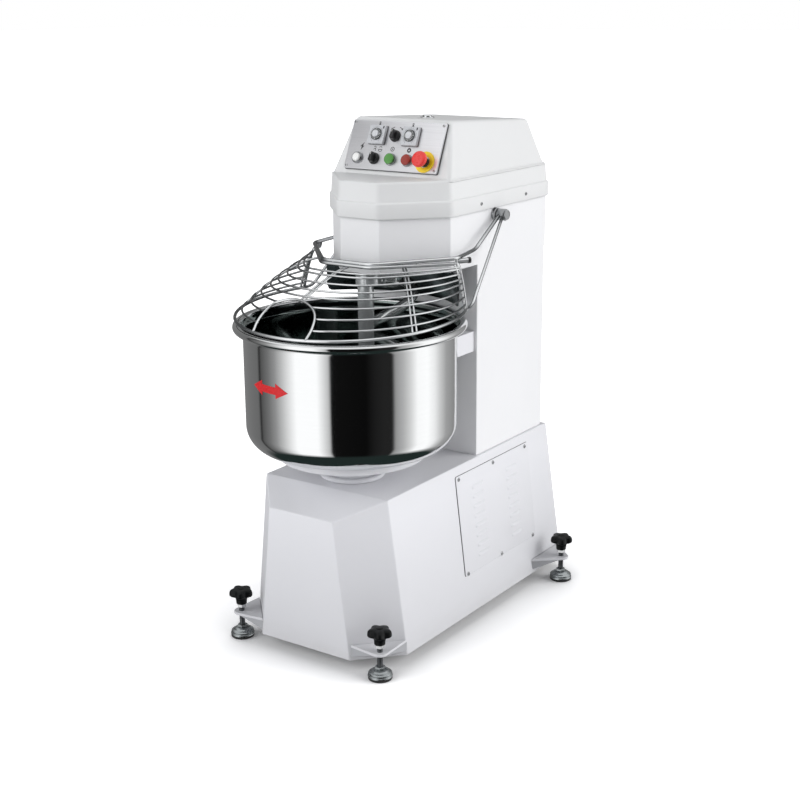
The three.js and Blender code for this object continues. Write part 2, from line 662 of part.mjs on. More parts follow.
// --------------------------------------------------------------- dough tools
{
  const PATH_R = 62.0;
  const ROD_R = 14.0;
  const PITCH = 207.9;
  const REFERENCE = { degrees: -14, z: 835 };   // a point the helix passes through
  // ends of the rod, [radius, degrees, z]
  const TOP_END = [[12, 62, 884], [38, 58, 880], [58, 44, 868]];
  const BOTTOM_END = [[50, -568, 524.5], [24, -590, 521]];
  // helix from 20 down to -540 degrees
  const turns = times(29, (i) => {
    const degrees = 20 - 20 * i;
    const z = REFERENCE.z + ((degrees - REFERENCE.degrees) * PITCH) / 360;
    return [PATH_R, degrees, z];
  });
  const path = [...TOP_END, ...turns, ...BOTTOM_END].map(
    ([radius, degrees, z]) => [...polar(radius, degrees, SPIRAL_AXIS), z],
  );
  piece('spiral_hook', add(
    sweep(path, ROD_R, 46, 8),
    cylinder(36, [872, 900], 20, SPIRAL_AXIS),
  ), MIRROR_STEEL);
}
piece('spiral_shaft', add(
  cylinder(32, [900.5, 911], 24, SPIRAL_AXIS),
  cylinder(20, [910.5, 1136], 16, SPIRAL_AXIS),
), DARK_STEEL);

// [radius, z]
const SPIRAL_BEARING_PROFILE = [
  [22, 927], [72, 927], [72, 937], [50, 941], [46, 1070], [22, 1070], [22, 927],
];
piece('spiral_bearing_housing', lathe(SPIRAL_BEARING_PROFILE, 24, SPIRAL_AXIS), CAST_IRON);

// breaker bar with an off-centre collar under the head; [radius, z]
const BREAKER_TOP = HEAD_BOTTOM - GAP;
const BREAKER_PROFILE = [
  [0, 508], [15, 508], [20, 516], [20, BREAKER_TOP], [12, BREAKER_TOP], [12, 1000], [0, 1000],
];
piece('breaker_bar', add(
  lathe(BREAKER_PROFILE, 16, BREAKER_AXIS),
  cylinder(32, [889, BREAKER_TOP], 20, [0, BREAKER_AXIS[1] + 13]),
), BRUSHED_STEEL);

// ------------------------------------------- fixed shield behind the bowl rim
{
  const START_DEGREES = 40.6;
  const SWEEP_DEGREES = 98.8;
  const STEPS = 20;
  const arc = (radius) => times(STEPS + 1, (i) =>
    polar(radius, START_DEGREES + (SWEEP_DEGREES * i) / STEPS));
  piece('rear_bowl_shield', add(
    prism([...arc(266.4), ...arc(263.6).reverse()], [836, 912]),
    ...[-1, 1].map((side) =>
      box(onSide(side, [50, 70]), [255, COLUMN_FRONT_Y - GAP], [890, 908])),
  ), BRUSHED_STEEL);
}

// ------------------------------------------- rollers that steady the bowl wall
{
  const ROLLER_R = 20;
  const ROLLER_X = 143;
  const RUNNING_CLEARANCE = 0.8;
  const BRACKET_X = [119, 170];
  const BRACKET_Z = [697, 749];
  const ROLLER_PROFILE = [        // [radius, z]
    [6.6, 703], [ROLLER_R - 1, 703], [ROLLER_R, 705], [ROLLER_R, 741],
    [ROLLER_R - 1, 743], [6.6, 743], [6.6, 703],
  ];
  const axisR = BOWL_WALL_R + ROLLER_R + RUNNING_CLEARANCE;
  const rollerY = Math.sqrt(axisR * axisR - ROLLER_X * ROLLER_X);
  const mountY = COLUMN_FRONT_Y - GAP;
  for (const [name, side] of SIDES) {
    const place = [side * ROLLER_X, rollerY];
    const bracketX = onSide(side, BRACKET_X);
    piece(`bowl_roller_bracket_${name}`, add(
      cut(
        add(
          box(bracketX, [222, mountY], [745, 749]),
          box(bracketX, [222, mountY], [697, 701]),
          box(onSide(side, [166, 170]), [216, mountY], BRACKET_Z),
          box(bracketX, [289, mountY], BRACKET_Z),
        ),
        cylinder(BOWL_WALL_R + 4, [690, 755], 64),
      ),
      cylinder(6, [700.5, 745.5], 16, place),
    ), WHITE_PAINT);
    piece(`bowl_roller_${name}`, lathe(ROLLER_PROFILE, 20, place), NYLON);
  }
}

// ---------------------------------------------------------------------- guard
{
  const RING_R = 279.9;
  const RING_CENTRE = [0, 3.5];
  const RING_Z = 837.8;
  const RING_SLOPE = 0.0525;      // the lower ring rises towards the rear
  const END = 28.3;               // the right end of the ring, degrees behind the bowl axis
  const TOP_Z = 950.0;
  const ARM_Z = 959.0;
  const WIRE_R = 3.2;
  const TOP_CORNER = [74, -14];   // front corner of the top ring
  const TOP_CORNER_DEGREES = -50;
  const TOP_END = [216, 146];     // rear end of the top ring
  const [cornerX, cornerY] = TOP_CORNER;
  const opposite = (degrees) => -180 - degrees;

  // right half of the top ring
  function topPoint(degrees) {
    if (degrees < TOP_CORNER_DEGREES) {
      return [cornerX * (degrees + 90) / (TOP_CORNER_DEGREES + 90), cornerY];
    }
    const turned = degrees - TOP_CORNER_DEGREES;
    const span = END - TOP_CORNER_DEGREES;
    return [
      cornerX + (TOP_END[0] - cornerX) * turned / span,
      cornerY + (TOP_END[1] - cornerY) * turned / span,
    ];
  }

  // point on the guard: the angle on the lower ring, and "drop" from 0 (top) to 1 (lower ring)
  function station(degrees, drop) {
    const left = degrees < -90;
    const rightDegrees = left ? opposite(degrees) : degrees;
    const [topX, topY] = topPoint(rightDegrees);
    const [ringX, ringY] = polar(RING_R, rightDegrees, RING_CENTRE);
    const ringZ = RING_Z + RING_SLOPE * ringY;
    const x = topX + (ringX - topX) * drop;
    const y = topY + (ringY - topY) * drop;
    // the dome aims at the skirt height and meets the ring only at the very bottom
    const frontRise = 4 * THREE.MathUtils.clamp((ringY + 280) / 230, 0, 1);
    const rearRise = 0.0003 * Math.max(0, ringY + 50) ** 2;
    const skirtZ = 831 + frontRise + rearRise;
    const z = TOP_Z - (TOP_Z - skirtZ) * drop ** 1.6 + (ringZ - skirtZ) * drop ** 12;
    return [left ? -x : x, y, z];
  }
  const run = (from, to, count, drop) => times(count + 1, (i) =>
    station(from + ((to - from) * i) / count, drop));

  // top ring and lower ring
  const rods = [
    bar([
      station(END, 0),
      [cornerX, cornerY, TOP_Z],
      [-cornerX, cornerY, TOP_Z],
      station(opposite(END), 0),
    ], 4.5, 6),
    sweep(run(END, opposite(END), 24, 1), 4.0, 20, 4),
  ];

  // feed arch in front: half width in degrees at a given drop
  const ARCH_TOP = 0.638;
  const ARCH_WIDEST = 0.87;
  const ARCH_HALF = 17.9;
  const ARCH_TAPER = 1.6;
  function archHalf(drop) {
    if (drop <= ARCH_TOP) return 0;
    if (drop >= ARCH_WIDEST) {
      return ARCH_HALF - (ARCH_TAPER * (drop - ARCH_WIDEST)) / (1 - ARCH_WIDEST);
    }
    const rise = (ARCH_WIDEST - drop) / (ARCH_WIDEST - ARCH_TOP);
    return ARCH_HALF * Math.sqrt(Math.max(0, 1 - rise * rise));
  }

  // intermediate rings; the lower ones stop at the feed arch
  for (const drop of [0.19, 0.385, 0.55, 0.694, 0.85]) {
    const half = archHalf(drop);
    if (half > 0) {
      rods.push(sweep(run(END, -90 + half, 10, drop), WIRE_R, 8, 4));
      rods.push(sweep(run(-90 - half, opposite(END), 10, drop), WIRE_R, 8, 4));
    } else {
      rods.push(sweep(run(END, opposite(END), 22, drop), WIRE_R, 14, 4));
    }
  }
  const arch = times(17, (index) => {
    const i = index - 8;
    const height = 1 - Math.abs(i) / 8;
    const drop = ARCH_TOP + (1 - ARCH_TOP) * (1 - Math.sin((height * Math.PI) / 2));
    return station(-90 + Math.sign(i) * archHalf(drop), drop);
  });
  rods.push(sweep(arch, 3.8, 10, 4));

  // ribs running down from the top ring, in left and right pairs
  const END_RIB = END - 0.4;
  const RIBS = [                  // [degrees, drop at the lower end, radius]
    [END_RIB, 1, 4.2],
    [-21, 1, WIRE_R],
    [-84, ARCH_TOP + 0.015, WIRE_R],
  ];
  for (const [rightDegrees, endDrop, radius] of RIBS) {
    for (const degrees of [rightDegrees, opposite(rightDegrees)]) {
      const points = times(7, (i) => station(degrees, (endDrop * i) / 6));
      rods.push(sweep(points, radius, 6, 4));
    }
  }

  // bent arms joined by the bar that runs along the top ring
  const rightArm = [
    [199, PIVOT_Y - 11.5, PIVOT_Z - 1], [206, 243, 969], [217, 142, ARM_Z], [76, -16, ARM_Z],
  ];
  rods.push(bar([...rightArm, ...rightArm.map(mirrored).reverse()], 5, 6));

  const tubeEnd = (side) => [side * 228, 170, TOP_Z + 3];
  for (const [, side] of SIDES) {
    // hub sleeve round the fixed pin
    rods.push(cut(
      cylinderX(14, onSide(side, [190, 213]), PIVOT, 12),
      cylinderX(8.8, onSide(side, [188, 216]), PIVOT, 12),
    ));
    // stay from the hub to the lower ring
    const ringEnd = station(side > 0 ? END_RIB : opposite(END_RIB), 1);
    const stayTop = [side * 205, PIVOT_Y - 8, PIVOT_Z - 9];
    rods.push(bar([stayTop, [side * 243.5, 168, 848], ringEnd], 4.2, 6));
    // capped tube end, and the link from the arm to the top ring
    rods.push(bar([[side * 214, 147, TOP_Z], tubeEnd(side)], 6.5, 8));
    rods.push(bar([[side * 217, 142, ARM_Z], [side * TOP_END[0], TOP_END[1], TOP_Z]], 4, 5));
  }
  piece('guard_cage', add(...rods), CHROME);

  for (const [name, side] of SIDES) {
    const along = new THREE.Vector3(side * 14, 23, 3).normalize();
    const [capStart, capEnd] = [0.6, 8.6].map((distance) =>
      vector(tubeEnd(side)).addScaledVector(along, distance).toArray());
    piece(`guard_end_cap_${name}`, rod(capStart, capEnd, 7.5, 16), BLACK_PLASTIC);

    // pin through the head wall: shank, outer shoulder, hexagon inside, end flange
    const pinPart = (radius, xRange, segments) =>
      cylinderX(radius, onSide(side, xRange), PIVOT, segments);
    piece(`guard_pivot_pin_${name}`, add(
      pinPart(8, [160, 217], 12),
      pinPart(16, [COLUMN_HALF + GAP, 189.3], 12),
      pinPart(12, [166, COLUMN_HALF - SHEET - GAP], 6),
      pinPart(12.5, [213.7, 217.5], 12),
    ), CHROME);
  }
}

// ----------------------------------------------------------------------- feet
const FEET = {                    // [x, y]
  front_left: [-215.2, -193.2],
  front_right: [215.2, -193.2],
  rear_left: [-283.6, 579.2],
  rear_right: [283.6, 579.2],
};
const BRACKET_Z = [62.5, 69.5];
const BRACKET_CLEARANCE = GAP + 0.1;
const STUD_R = 7.0;
const PAD_PROFILE = [             // [radius, z]
  [0, 0], [29, 0], [30, 2], [30, 13], [26.5, 19], [21, 24], [13, 27],
  [12, 31.6], [7.8, 31.6], [7.8, 20], [0, 20],
];

// five-lobed outline of the hand knob
const knobOutline = ([x, y]) => times(20, (i) => {
  const angle = (2 * Math.PI * i) / 20;
  const radius = 25.0 + 5.6 * Math.cos(5 * angle);
  return [x + radius * Math.cos(angle + 0.25), y + radius * Math.sin(angle + 0.25)];
});

// point just outside the corner chamfer of the base, at the bracket's underside
function chamferEdge(x, side) {
  const { normal, distance } = baseChamfer;
  const planLength = Math.hypot(normal.x, normal.y);
  const y = (distance - normal.z * BRACKET_Z[0] - normal.x * x) / normal.y;
  return [
    side * (x + (normal.x / planLength) * BRACKET_CLEARANCE),
    y + (normal.y / planLength) * BRACKET_CLEARANCE,
  ];
}

// the bracket edge that lies along the casing
function bracketRoot(name, [x, y]) {
  const side = Math.sign(x);
  if (name.startsWith('front')) return [chamferEdge(137, side), chamferEdge(231.5, side)];
  const rootX = side * (baseSideX(BRACKET_Z[0]) + BRACKET_CLEARANCE);
  return about(y, 71).map((rootY) => [rootX, rootY]);
}

for (const [name, place] of Object.entries(FEET)) {
  const outline = [...bracketRoot(name, place), ...ringOf(20, 12, place)];
  piece(`foot_bracket_${name}`, cut(
    loft(outline, outline, BRACKET_Z),
    cylinder(STUD_R + 0.8, [50, 80], 12, place),
  ), WHITE_PAINT);
  piece(`foot_screw_${name}`, add(
    cylinder(STUD_R, [20.4, 82], 12, place),
    cylinder(12, [80, 88.6], 6, place),
    cylinder(15, [88.5, 110], 12, place),
    prism(knobOutline(place), [108, 128]),
    cylinder(14, [127.5, 131], 12, place, 10),
  ), BLACK_PLASTIC);
  piece(`foot_pad_${name}`, lathe(PAD_PROFILE, 12, place), ZINC);
}

export default machine;
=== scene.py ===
# A spiral dough mixer: a casing on four feet, a column and head behind and over an open bowl,
# a spiral hook, a wire guard and an operator panel on the front of the head.
# Pieces are drawn in millimetres with the bowl axis at x = y = 0 and the floor at z = 0.
# The front faces -Y, and +X is on the right as seen from the front.
import json
from math import acos, atan2, cos, hypot, pi, radians, sin, sqrt, tan

import bmesh
import bpy
from mathutils import Matrix, Vector

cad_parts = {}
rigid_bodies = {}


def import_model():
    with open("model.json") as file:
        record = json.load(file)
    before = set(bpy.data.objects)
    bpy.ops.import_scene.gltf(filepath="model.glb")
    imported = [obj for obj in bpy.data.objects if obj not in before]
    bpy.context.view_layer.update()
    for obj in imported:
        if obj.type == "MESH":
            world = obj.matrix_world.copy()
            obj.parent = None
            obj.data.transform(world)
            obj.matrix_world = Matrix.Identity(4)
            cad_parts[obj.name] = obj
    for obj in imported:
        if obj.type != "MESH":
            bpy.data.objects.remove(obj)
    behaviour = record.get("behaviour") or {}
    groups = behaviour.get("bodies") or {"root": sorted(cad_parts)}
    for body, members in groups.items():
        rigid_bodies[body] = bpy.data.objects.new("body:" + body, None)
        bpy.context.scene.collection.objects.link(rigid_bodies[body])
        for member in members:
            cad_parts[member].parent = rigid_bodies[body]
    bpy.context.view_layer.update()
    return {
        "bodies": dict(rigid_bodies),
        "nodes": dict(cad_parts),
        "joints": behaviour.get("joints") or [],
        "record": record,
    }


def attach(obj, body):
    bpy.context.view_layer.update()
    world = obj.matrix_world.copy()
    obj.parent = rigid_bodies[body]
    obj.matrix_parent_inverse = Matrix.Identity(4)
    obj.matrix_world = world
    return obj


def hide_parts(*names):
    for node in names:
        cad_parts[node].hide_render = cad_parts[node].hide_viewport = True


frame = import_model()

NODES = frame["nodes"]
SCENE = bpy.context.scene
BOWL_TO_ORIGIN = 192.4      # from the bowl axis back to the middle of the footprint
SIDES = (("right", 1), ("left", -1))


def metres(p):
    """Bowl-axis millimetres to the frame's metres."""
    return Vector((p[0] / 1000.0, (p[1] - BOWL_TO_ORIGIN) / 1000.0, p[2] / 1000.0))


# ------------------------------------------------------------- outlines and paths
def polar(radius, angle, x=0.0, y=0.0):
    return (x + radius * cos(angle), y + radius * sin(angle))


def circle(radius, count, x=0.0, y=0.0, turn=0.0):
    return [polar(radius, 2 * pi * i / count + turn, x, y) for i in range(count)]


def raised(outline, z):
    return [(x, y, z) for x, y in outline]


def rotated(points, angle):
    c, s = cos(angle), sin(angle)
    return [(x * c - y * s, x * s + y * c) for x, y in points]


def offset(outline, distance):
    """Moves every side of a counter-clockwise outline outwards."""
    def side_normal(start, end):
        along = Vector((end[0] - start[0], end[1] - start[1])).normalized()
        return Vector((along.y, -along.x))

    out = []
    for i, corner in enumerate(outline):
        following = outline[(i + 1) % len(outline)]
        mitre = side_normal(outline[i - 1], corner) + side_normal(corner, following)
        mitre = mitre / max(0.3, mitre.length_squared) * 2.0
        out.append((corner[0] + mitre.x * distance, corner[1] + mitre.y * distance))
    return out


def rounded(outline, radii, steps):
    """Rounds the corners of a counter-clockwise convex outline, with one radius or a list."""
    out = []
    count = len(outline)
    for i in range(count):
        before, corner, after = (Vector(outline[(i + k) % count]) for k in (-1, 0, 1))
        radius = radii[i] if isinstance(radii, list) else radii
        back, ahead = (before - corner).normalized(), (after - corner).normalized()
        half = acos(max(-1, min(1, back.dot(ahead)))) / 2
        reach = radius / tan(half)
        centre = corner + (back + ahead).normalized() * (radius / sin(half))
        start, end = corner + back * reach - centre, corner + ahead * reach - centre
        first, last = atan2(start.y, start.x), atan2(end.y, end.x)
        while last < first:
            last += 2 * pi
        for j in range(steps + 1):
            out.append(polar(radius, first + (last - first) * j / steps, centre.x, centre.y))
    return out


def rect(x0, x1, y0, y1, radius, steps=4):
    return rounded([(x0, y0), (x1, y0), (x1, y1), (x0, y1)], radius, steps)


def catmull(points, per):
    """A smooth curve through the points, with `per` steps between neighbours."""
    points = [Vector(p) for p in points]
    points = [points[0] * 2 - points[1]] + points + [points[-1] * 2 - points[-2]]
    out = []
    for p0, p1, p2, p3 in zip(points, points[1:], points[2:], points[3:]):
        for j in range(per):
            t = j / per
            square = (2 * p0 - 5 * p1 + 4 * p2 - p3) * t * t
            cube = (3 * p1 - p0 - 3 * p2 + p3) * t ** 3
            out.append(0.5 * ((2 * p1) + (p2 - p0) * t + square + cube))
    out.append(points[-2])
    return out


def fillet_path(points, radii, steps):
    """Straight runs joined by bends, one radius for each inner point."""
    points = [Vector(p) for p in points]
    out = [points[0]]
    for before, corner, after, radius in zip(points, points[1:], points[2:], radii):
        back, ahead = before - corner, after - corner
        reach = min(radius, back.length * 0.49, ahead.length * 0.49)
        start = corner + back.normalized() * reach
        end = corner + ahead.normalized() * reach
        for j in range(steps + 1):
            t = j / steps
            out.append(start.lerp(corner, t).lerp(corner.lerp(end, t), t))
    out.append(points[-1])
    return out


# -------------------------------------------------------------------- mesh making
def shifted(dx=0.0, dy=0.0, dz=0.0):
    """A frame moved from the bowl axis at floor level."""
    return lambda x, y, z: (dx + x, dy + y, dz + z)


class Mesh:
    """Gathers the faces of one piece; frame(x, y, z) takes its points to bowl millimetres."""

    def __init__(self, frame=shifted()):
        self.points, self.faces, self.slots = [], [], []
        self.frame = frame

    def add(self, points, faces, mat):
        base = len(self.points)
        self.points += [self.frame(*p) for p in points]
        self.faces += [tuple(base + i for i in face) for face in faces]
        self.slots += [mat] * len(faces)

    def skin(self, rings, mat=0, start=True, end=True, closed=False):
        """Skins equal rings of points, with end caps unless the row of rings is closed."""
        n, count = len(rings[0]), len(rings)
        faces = []
        for i in range(count if closed else count - 1):
            a, b = i * n, ((i + 1) % count) * n
            for j in range(n):
                k = (j + 1) % n
                faces.append((a + j, a + k, b + k, b + j))
        if not closed and start:
            faces.append(tuple(reversed(range(n))))
        if not closed and end:
            faces.append(tuple((count - 1) * n + j for j in range(n)))
        self.add([p for ring in rings for p in ring], faces, mat)

    def lathe(self, profile, steps, at=(0.0, 0.0), mat=0, closed=False):
        """Revolves a profile of (radius, height) about the third axis through `at`."""
        points, faces, rows = [], [], []
        for radius, z in profile:
            first = len(points)
            points += raised([at] if radius < 1e-6 else circle(radius, steps, *at), z)
            rows.append(range(first, len(points)))
        pairs = list(zip(rows, rows[1:]))
        if closed:
            pairs.append((rows[-1], rows[0]))
        for a, b in pairs:
            for i in range(steps):
                j = (i + 1) % steps
                if len(a) == 1:
                    faces.append((a[0], b[j], b[i]))
                elif len(b) == 1:
                    faces.append((a[i], a[j], b[0]))
                else:
                    faces.append((a[i], a[j], b[j], b[i]))
        self.add(points, faces, mat)

    def slab(self, outline, z0, z1, mat=0, edge=0.0):
        """A plate between two heights, with its edges rounded by `edge`."""
        bends = [(0.0, 0.0)]        # inset and distance from the face
        if edge:
            angles = [pi / 2 * i / 3 for i in range(4)]
            bends = [(edge * (1 - sin(a)), edge * (1 - cos(a))) for a in angles]
        rings = [raised(offset(outline, -inset), z0 + lift) for inset, lift in bends]
        rings += [raised(offset(outline, -inset), z1 - lift) for inset, lift in bends[::-1]]
        self.skin(rings, mat)

    def tube(self, path, radius, steps=10, round_ends=False):
        """Sweeps a circle along a path; radius may be a function of the way along, 0 to 1."""
        points = [Vector(path[0])]
        for p in path[1:]:
            if (Vector(p) - points[-1]).length > 1e-4:
                points.append(Vector(p))
        last = len(points) - 1
        tangents = [(points[min(i + 1, last)] - points[max(i - 1, 0)]).normalized()
                    for i in range(last + 1)]
        up = Vector((0, 0, 1)) if abs(tangents[0].z) < 0.9 else Vector((1, 0, 0))
        side = tangents[0].cross(up).normalized()
        rings = []
        for i, (point, tangent) in enumerate(zip(points, tangents)):
            side = (side - tangent * side.dot(tangent)).normalized()
            cross = tangent.cross(side)
            size = radius(i / last) if callable(radius) else radius
            stations = [(0.0, 1.0)]     # way ahead and ring radius, in tube radii
            if round_ends and i == 0:
                stations = [(-0.55, 0.45), (-0.3, 0.85)] + stations
            if round_ends and i == last:
                stations += [(0.3, 0.85), (0.55, 0.45)]
            for ahead, scale in stations:
                centre = point + tangent * size * ahead
                rings.append([tuple(centre + side * x + cross * y)
                              for x, y in circle(size * scale, steps)])
        self.skin(rings)


def place(name, data, mats, replaces, body, angle, wall):
    """Makes the object. With no sharp angle it gets weighted normals instead."""
    for mat in mats if isinstance(mats, list) else [mats]:
        data.materials.append(mat)
    for face in data.polygons:
        face.use_smooth = True
    if angle is not None:
        data.set_sharp_from_angle(angle=radians(angle))
    piece = bpy.data.objects.new(name, data)
    SCENE.collection.objects.link(piece)
    if wall:
        sheet = piece.modifiers.new("wall", "SOLIDIFY")
        sheet.thickness = wall / 1000.0
        sheet.offset = -1.0
        sheet.use_even_offset = True
    if angle is None:
        shade = piece.modifiers.new("shade", "WEIGHTED_NORMAL")
        shade.keep_sharp = True
        shade.weight = 60
    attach(piece, body)
    if replaces:
        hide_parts(replaces)


def build(name, mesh, mats, replaces=None, body="frame", angle=38.0, wall=None):
    data = bpy.data.meshes.new(name)
    data.from_pydata([metres(p) for p in mesh.points], [], mesh.faces)
    data.update()
    for face, index in zip(data.polygons, mesh.slots):
        face.material_index = index
    bm = bmesh.new()
    bm.from_mesh(data)
    bmesh.ops.remove_doubles(bm, verts=bm.verts, dist=2e-6)
    bmesh.ops.recalc_face_normals(bm, faces=bm.faces)
    bm.to_mesh(data)
    bm.free()
    place(name, data, mats, replaces, body, angle, wall)


def folded(name, points, mat, replaces, fold, is_open, faces=None, rim=None):
    """A folded sheet body, from faces or as a convex hull, with folds of radius `fold`.

    Faces where is_open(normal, centre) are cut out, leaving a rim (metres) if one is given.
    """
    bm = bmesh.new()
    verts = [bm.verts.new(metres(p)) for p in points]
    if faces:
        for face in faces:
            bm.faces.new([verts[i] for i in face])
    else:
        hull = bmesh.ops.convex_hull(bm, input=verts)
        spare = hull["geom_unused"] + hull["geom_interior"]
        spare = list({g for g in spare if isinstance(g, bmesh.types.BMVert)})
        if spare:
            bmesh.ops.delete(bm, geom=spare, context="VERTS")
        bmesh.ops.dissolve_limit(bm, angle_limit=radians(0.8), verts=bm.verts, edges=bm.edges)
    bmesh.ops.recalc_face_normals(bm, faces=bm.faces)
    bm.normal_update()
    for face in [f for f in bm.faces if is_open(f.normal, f.calc_center_median())]:
        if rim:
            bmesh.ops.inset_region(bm, faces=[face], thickness=rim, use_even_offset=True)
        bmesh.ops.delete(bm, geom=[face], context="FACES")
    folds = [e for e in bm.edges if len(e.link_faces) == 2 and e.calc_face_angle(0) > radians(4)]
    bmesh.ops.bevel(bm, geom=folds, offset=fold / 1000.0, offset_type="OFFSET", segments=3,
                    profile=0.5, affect="EDGES", clamp_overlap=True)
    data = bpy.data.meshes.new(name)
    bm.to_mesh(data)
    bm.free()
    place(name, data, mat, replaces, "frame", angle=None, wall=3.0)


def cad(name, mat, edge, angle=32.0):
    """Keeps a CAD node's shape: new material, welded, flats merged, small rounded edges."""
    piece = NODES[name]
    piece.data.materials.clear()
    piece.data.materials.append(mat)
    for face in piece.data.polygons:
        face.material_index = 0
        face.use_smooth = True
    piece.modifiers.new("weld", "WELD").merge_threshold = 2e-5
    flats = piece.modifiers.new("flats", "DECIMATE")
    flats.decimate_type = "DISSOLVE"
    flats.angle_limit = radians(1.0)
    bevel = piece.modifiers.new("edge", "BEVEL")
    bevel.width = edge / 1000.0
    bevel.segments = 2
    bevel.limit_method = "ANGLE"
    bevel.angle_limit = radians(angle)
    bevel.use_clamp_overlap = True
    piece.modifiers.new("shade", "WEIGHTED_NORMAL").keep_sharp = True


# -------------------------------------------------------------------- shader graphs
class Graph:
    """Short hand for wiring nodes."""

    def __init__(self, tree):
        self.tree = tree

    def feed(self, socket, value):
        """Links an output to a socket, or sets the socket's own value."""
        if isinstance(value, bpy.types.NodeSocket):
            self.tree.links.new(value, socket)
        elif socket.type == "RGBA":
            socket.default_value = (*value, 1.0)
        else:
            socket.default_value = value

    def node(self, kind, inputs=None, **settings):
        made = self.tree.nodes.new(kind)
        for key, value in settings.items():
            setattr(made, key, value)
        for key, value in (inputs or {}).items():
            self.feed(made.inputs[key], value)
        return made

    def math(self, operation, a, b=0.0, clamp=False):
        return self.node("ShaderNodeMath", {0: a, 1: b}, operation=operation,
                         use_clamp=clamp).outputs[0]

    def mix(self, factor, a, b):
        return self.node("ShaderNodeMix", {0: factor, 6: a, 7: b}, data_type="RGBA").outputs[2]


class Surface(Graph):
    """A Principled material with object-space textures."""

    def __init__(self, name):
        self.material = bpy.data.materials.new(name)
        self.material.use_nodes = True
        super().__init__(self.material.node_tree)
        self.shader = self.tree.nodes["Principled BSDF"]
        self.coord = self.node("ShaderNodeTexCoord").outputs["Object"]

    def noise(self, scale, detail=3, rough=0.6, source=None):
        scale = scale if isinstance(scale, tuple) else (scale,) * 3
        where = self.node("ShaderNodeMapping", {"Vector": source or self.coord, "Scale": scale})
        return self.node("ShaderNodeTexNoise", {
            "Vector": where.outputs[0], "Scale": 1.0, "Detail": detail, "Roughness": rough,
        }).outputs["Fac"]

    def remap(self, value, span, to):
        return self.node("ShaderNodeMapRange", {
            "Value": value, "From Min": span[0], "From Max": span[1],
            "To Min": to[0], "To Max": to[1],
        }).outputs[0]

    def bump(self, height, strength, distance, normal=None):
        inputs = {"Height": height, "Strength": strength, "Distance": distance}
        if normal is not None:
            inputs["Normal"] = normal
        return self.node("ShaderNodeBump", inputs).outputs[0]

    def axis(self, index):
        return self.node("ShaderNodeSeparateXYZ", {0: self.coord}).outputs[index]

    def turned(self, centre, along, around):
        """Coordinates wrapped about a vertical axis: fine along the height, long around it."""
        middle = metres((*centre, 0))
        x = self.math("SUBTRACT", self.axis(0), middle.x)
        y = self.math("SUBTRACT", self.axis(1), middle.y)
        square = self.math("ADD", self.math("MULTIPLY", x, x), self.math("MULTIPLY", y, y))
        return self.node("ShaderNodeCombineXYZ", {
            0: self.math("MULTIPLY", self.math("ARCTAN2", y, x), around),
            1: self.math("MULTIPLY", self.axis(2), along),
            2: self.math("MULTIPLY", self.math("SQRT", square), along),
        }).outputs[0]

    def finish(self, color, rough, normal=None, **extra):
        inputs = {"Base Color": color, "Roughness": rough, **extra}
        if normal is not None:
            inputs["Normal"] = normal
        for key, value in inputs.items():
            self.feed(self.shader.inputs[key.replace("_", " ")], value)
        return self.material


# -------------------------------------------------------------------- material kinds
def shade(color, factor):
    return tuple(x * factor for x in color)


def paint(name, color, tint, rough=(0.34, 0.44), peel=0.10, grime=True, painted_low_shade=None):
    """Cloudy paint with orange peel, grime near the floor and painted shade that darkens it
    towards the floor.
    """
    m = Surface(name)
    cloud = m.noise(2.6, rough=0.5)
    fine = m.noise(60.0)
    c = m.mix(m.remap(cloud, (0.3, 0.7), to=(0.0, 1.0)), color, tint)
    c = m.mix(m.remap(fine, (0.35, 0.75), to=(0.0, 0.10)), c, shade(color, 0.94))
    if grime:
        low = m.remap(m.axis(2), (0.028, 0.085), to=(0.30, 0.0))
        patches = m.remap(m.noise((9, 9, 26), detail=4), (0.35, 0.7), to=(0.2, 1.0))
        c = m.mix(m.math("MULTIPLY", low, patches, clamp=True), c, (0.50, 0.49, 0.47))
    # painted shade: the colour darkens downwards to stand in for the shade low on the casing
    if painted_low_shade:
        c = m.mix(m.remap(m.axis(2), (0.02, 0.36), to=(painted_low_shade, 0.0)), c, shade(color, 0.5))
    r = m.remap(m.noise(22.0, detail=4), (0.25, 0.75), to=rough)
    normal = m.bump(m.noise(420.0, detail=2, rough=0.5), strength=peel, distance=0.0004)
    sheet = m.noise(5.0, detail=2, rough=0.4)
    normal = m.bump(sheet, strength=0.05, distance=0.004, normal=normal)
    return m.finish(c, r, normal, IOR=1.5, Specular_IOR_Level=0.5,
                    Coat_Weight=0.12, Coat_Roughness=0.12)


def turned_metal(name, color, rough, centre=(0, 0), along=2600.0, around=3.0, strength=0.06,
                 metallic=1.0):
    """Metal with fine lathe lines round a vertical axis."""
    m = Surface(name)
    lines = m.noise(1.0, source=m.turned(centre, along, around))
    cloud = m.noise(7.0, rough=0.55)
    c = m.mix(m.remap(lines, (0.3, 0.7), to=(0.0, 0.6)), color, shade(color, 0.92))
    smear = m.remap(cloud, (0.4, 0.75), to=(0.0, (rough[1] - rough[0]) * 0.5))
    r = m.math("ADD", m.remap(lines, (0.25, 0.75), to=rough), smear)
    return m.finish(c, r, m.bump(lines, strength, distance=0.00012), Metallic=metallic)


def brushed(name, color, rough, scale, strength, anisotropic, metallic):
    """Metal with a straight grain, set by the three noise scales."""
    m = Surface(name)
    grain = m.noise(scale, detail=4, rough=0.65)
    broad = m.noise(5.0, detail=2, rough=0.5)
    c = m.mix(m.remap(grain, (0.3, 0.7), to=(0.0, 1.0)), color, shade(color, 0.88))
    c = m.mix(m.remap(broad, (0.3, 0.7), to=(0.0, 0.25)), c, shade(color, 0.95))
    r = m.remap(grain, (0.25, 0.75), to=rough)
    return m.finish(c, r, m.bump(grain, strength, distance=0.0001),
                    Metallic=metallic, Anisotropic=anisotropic)


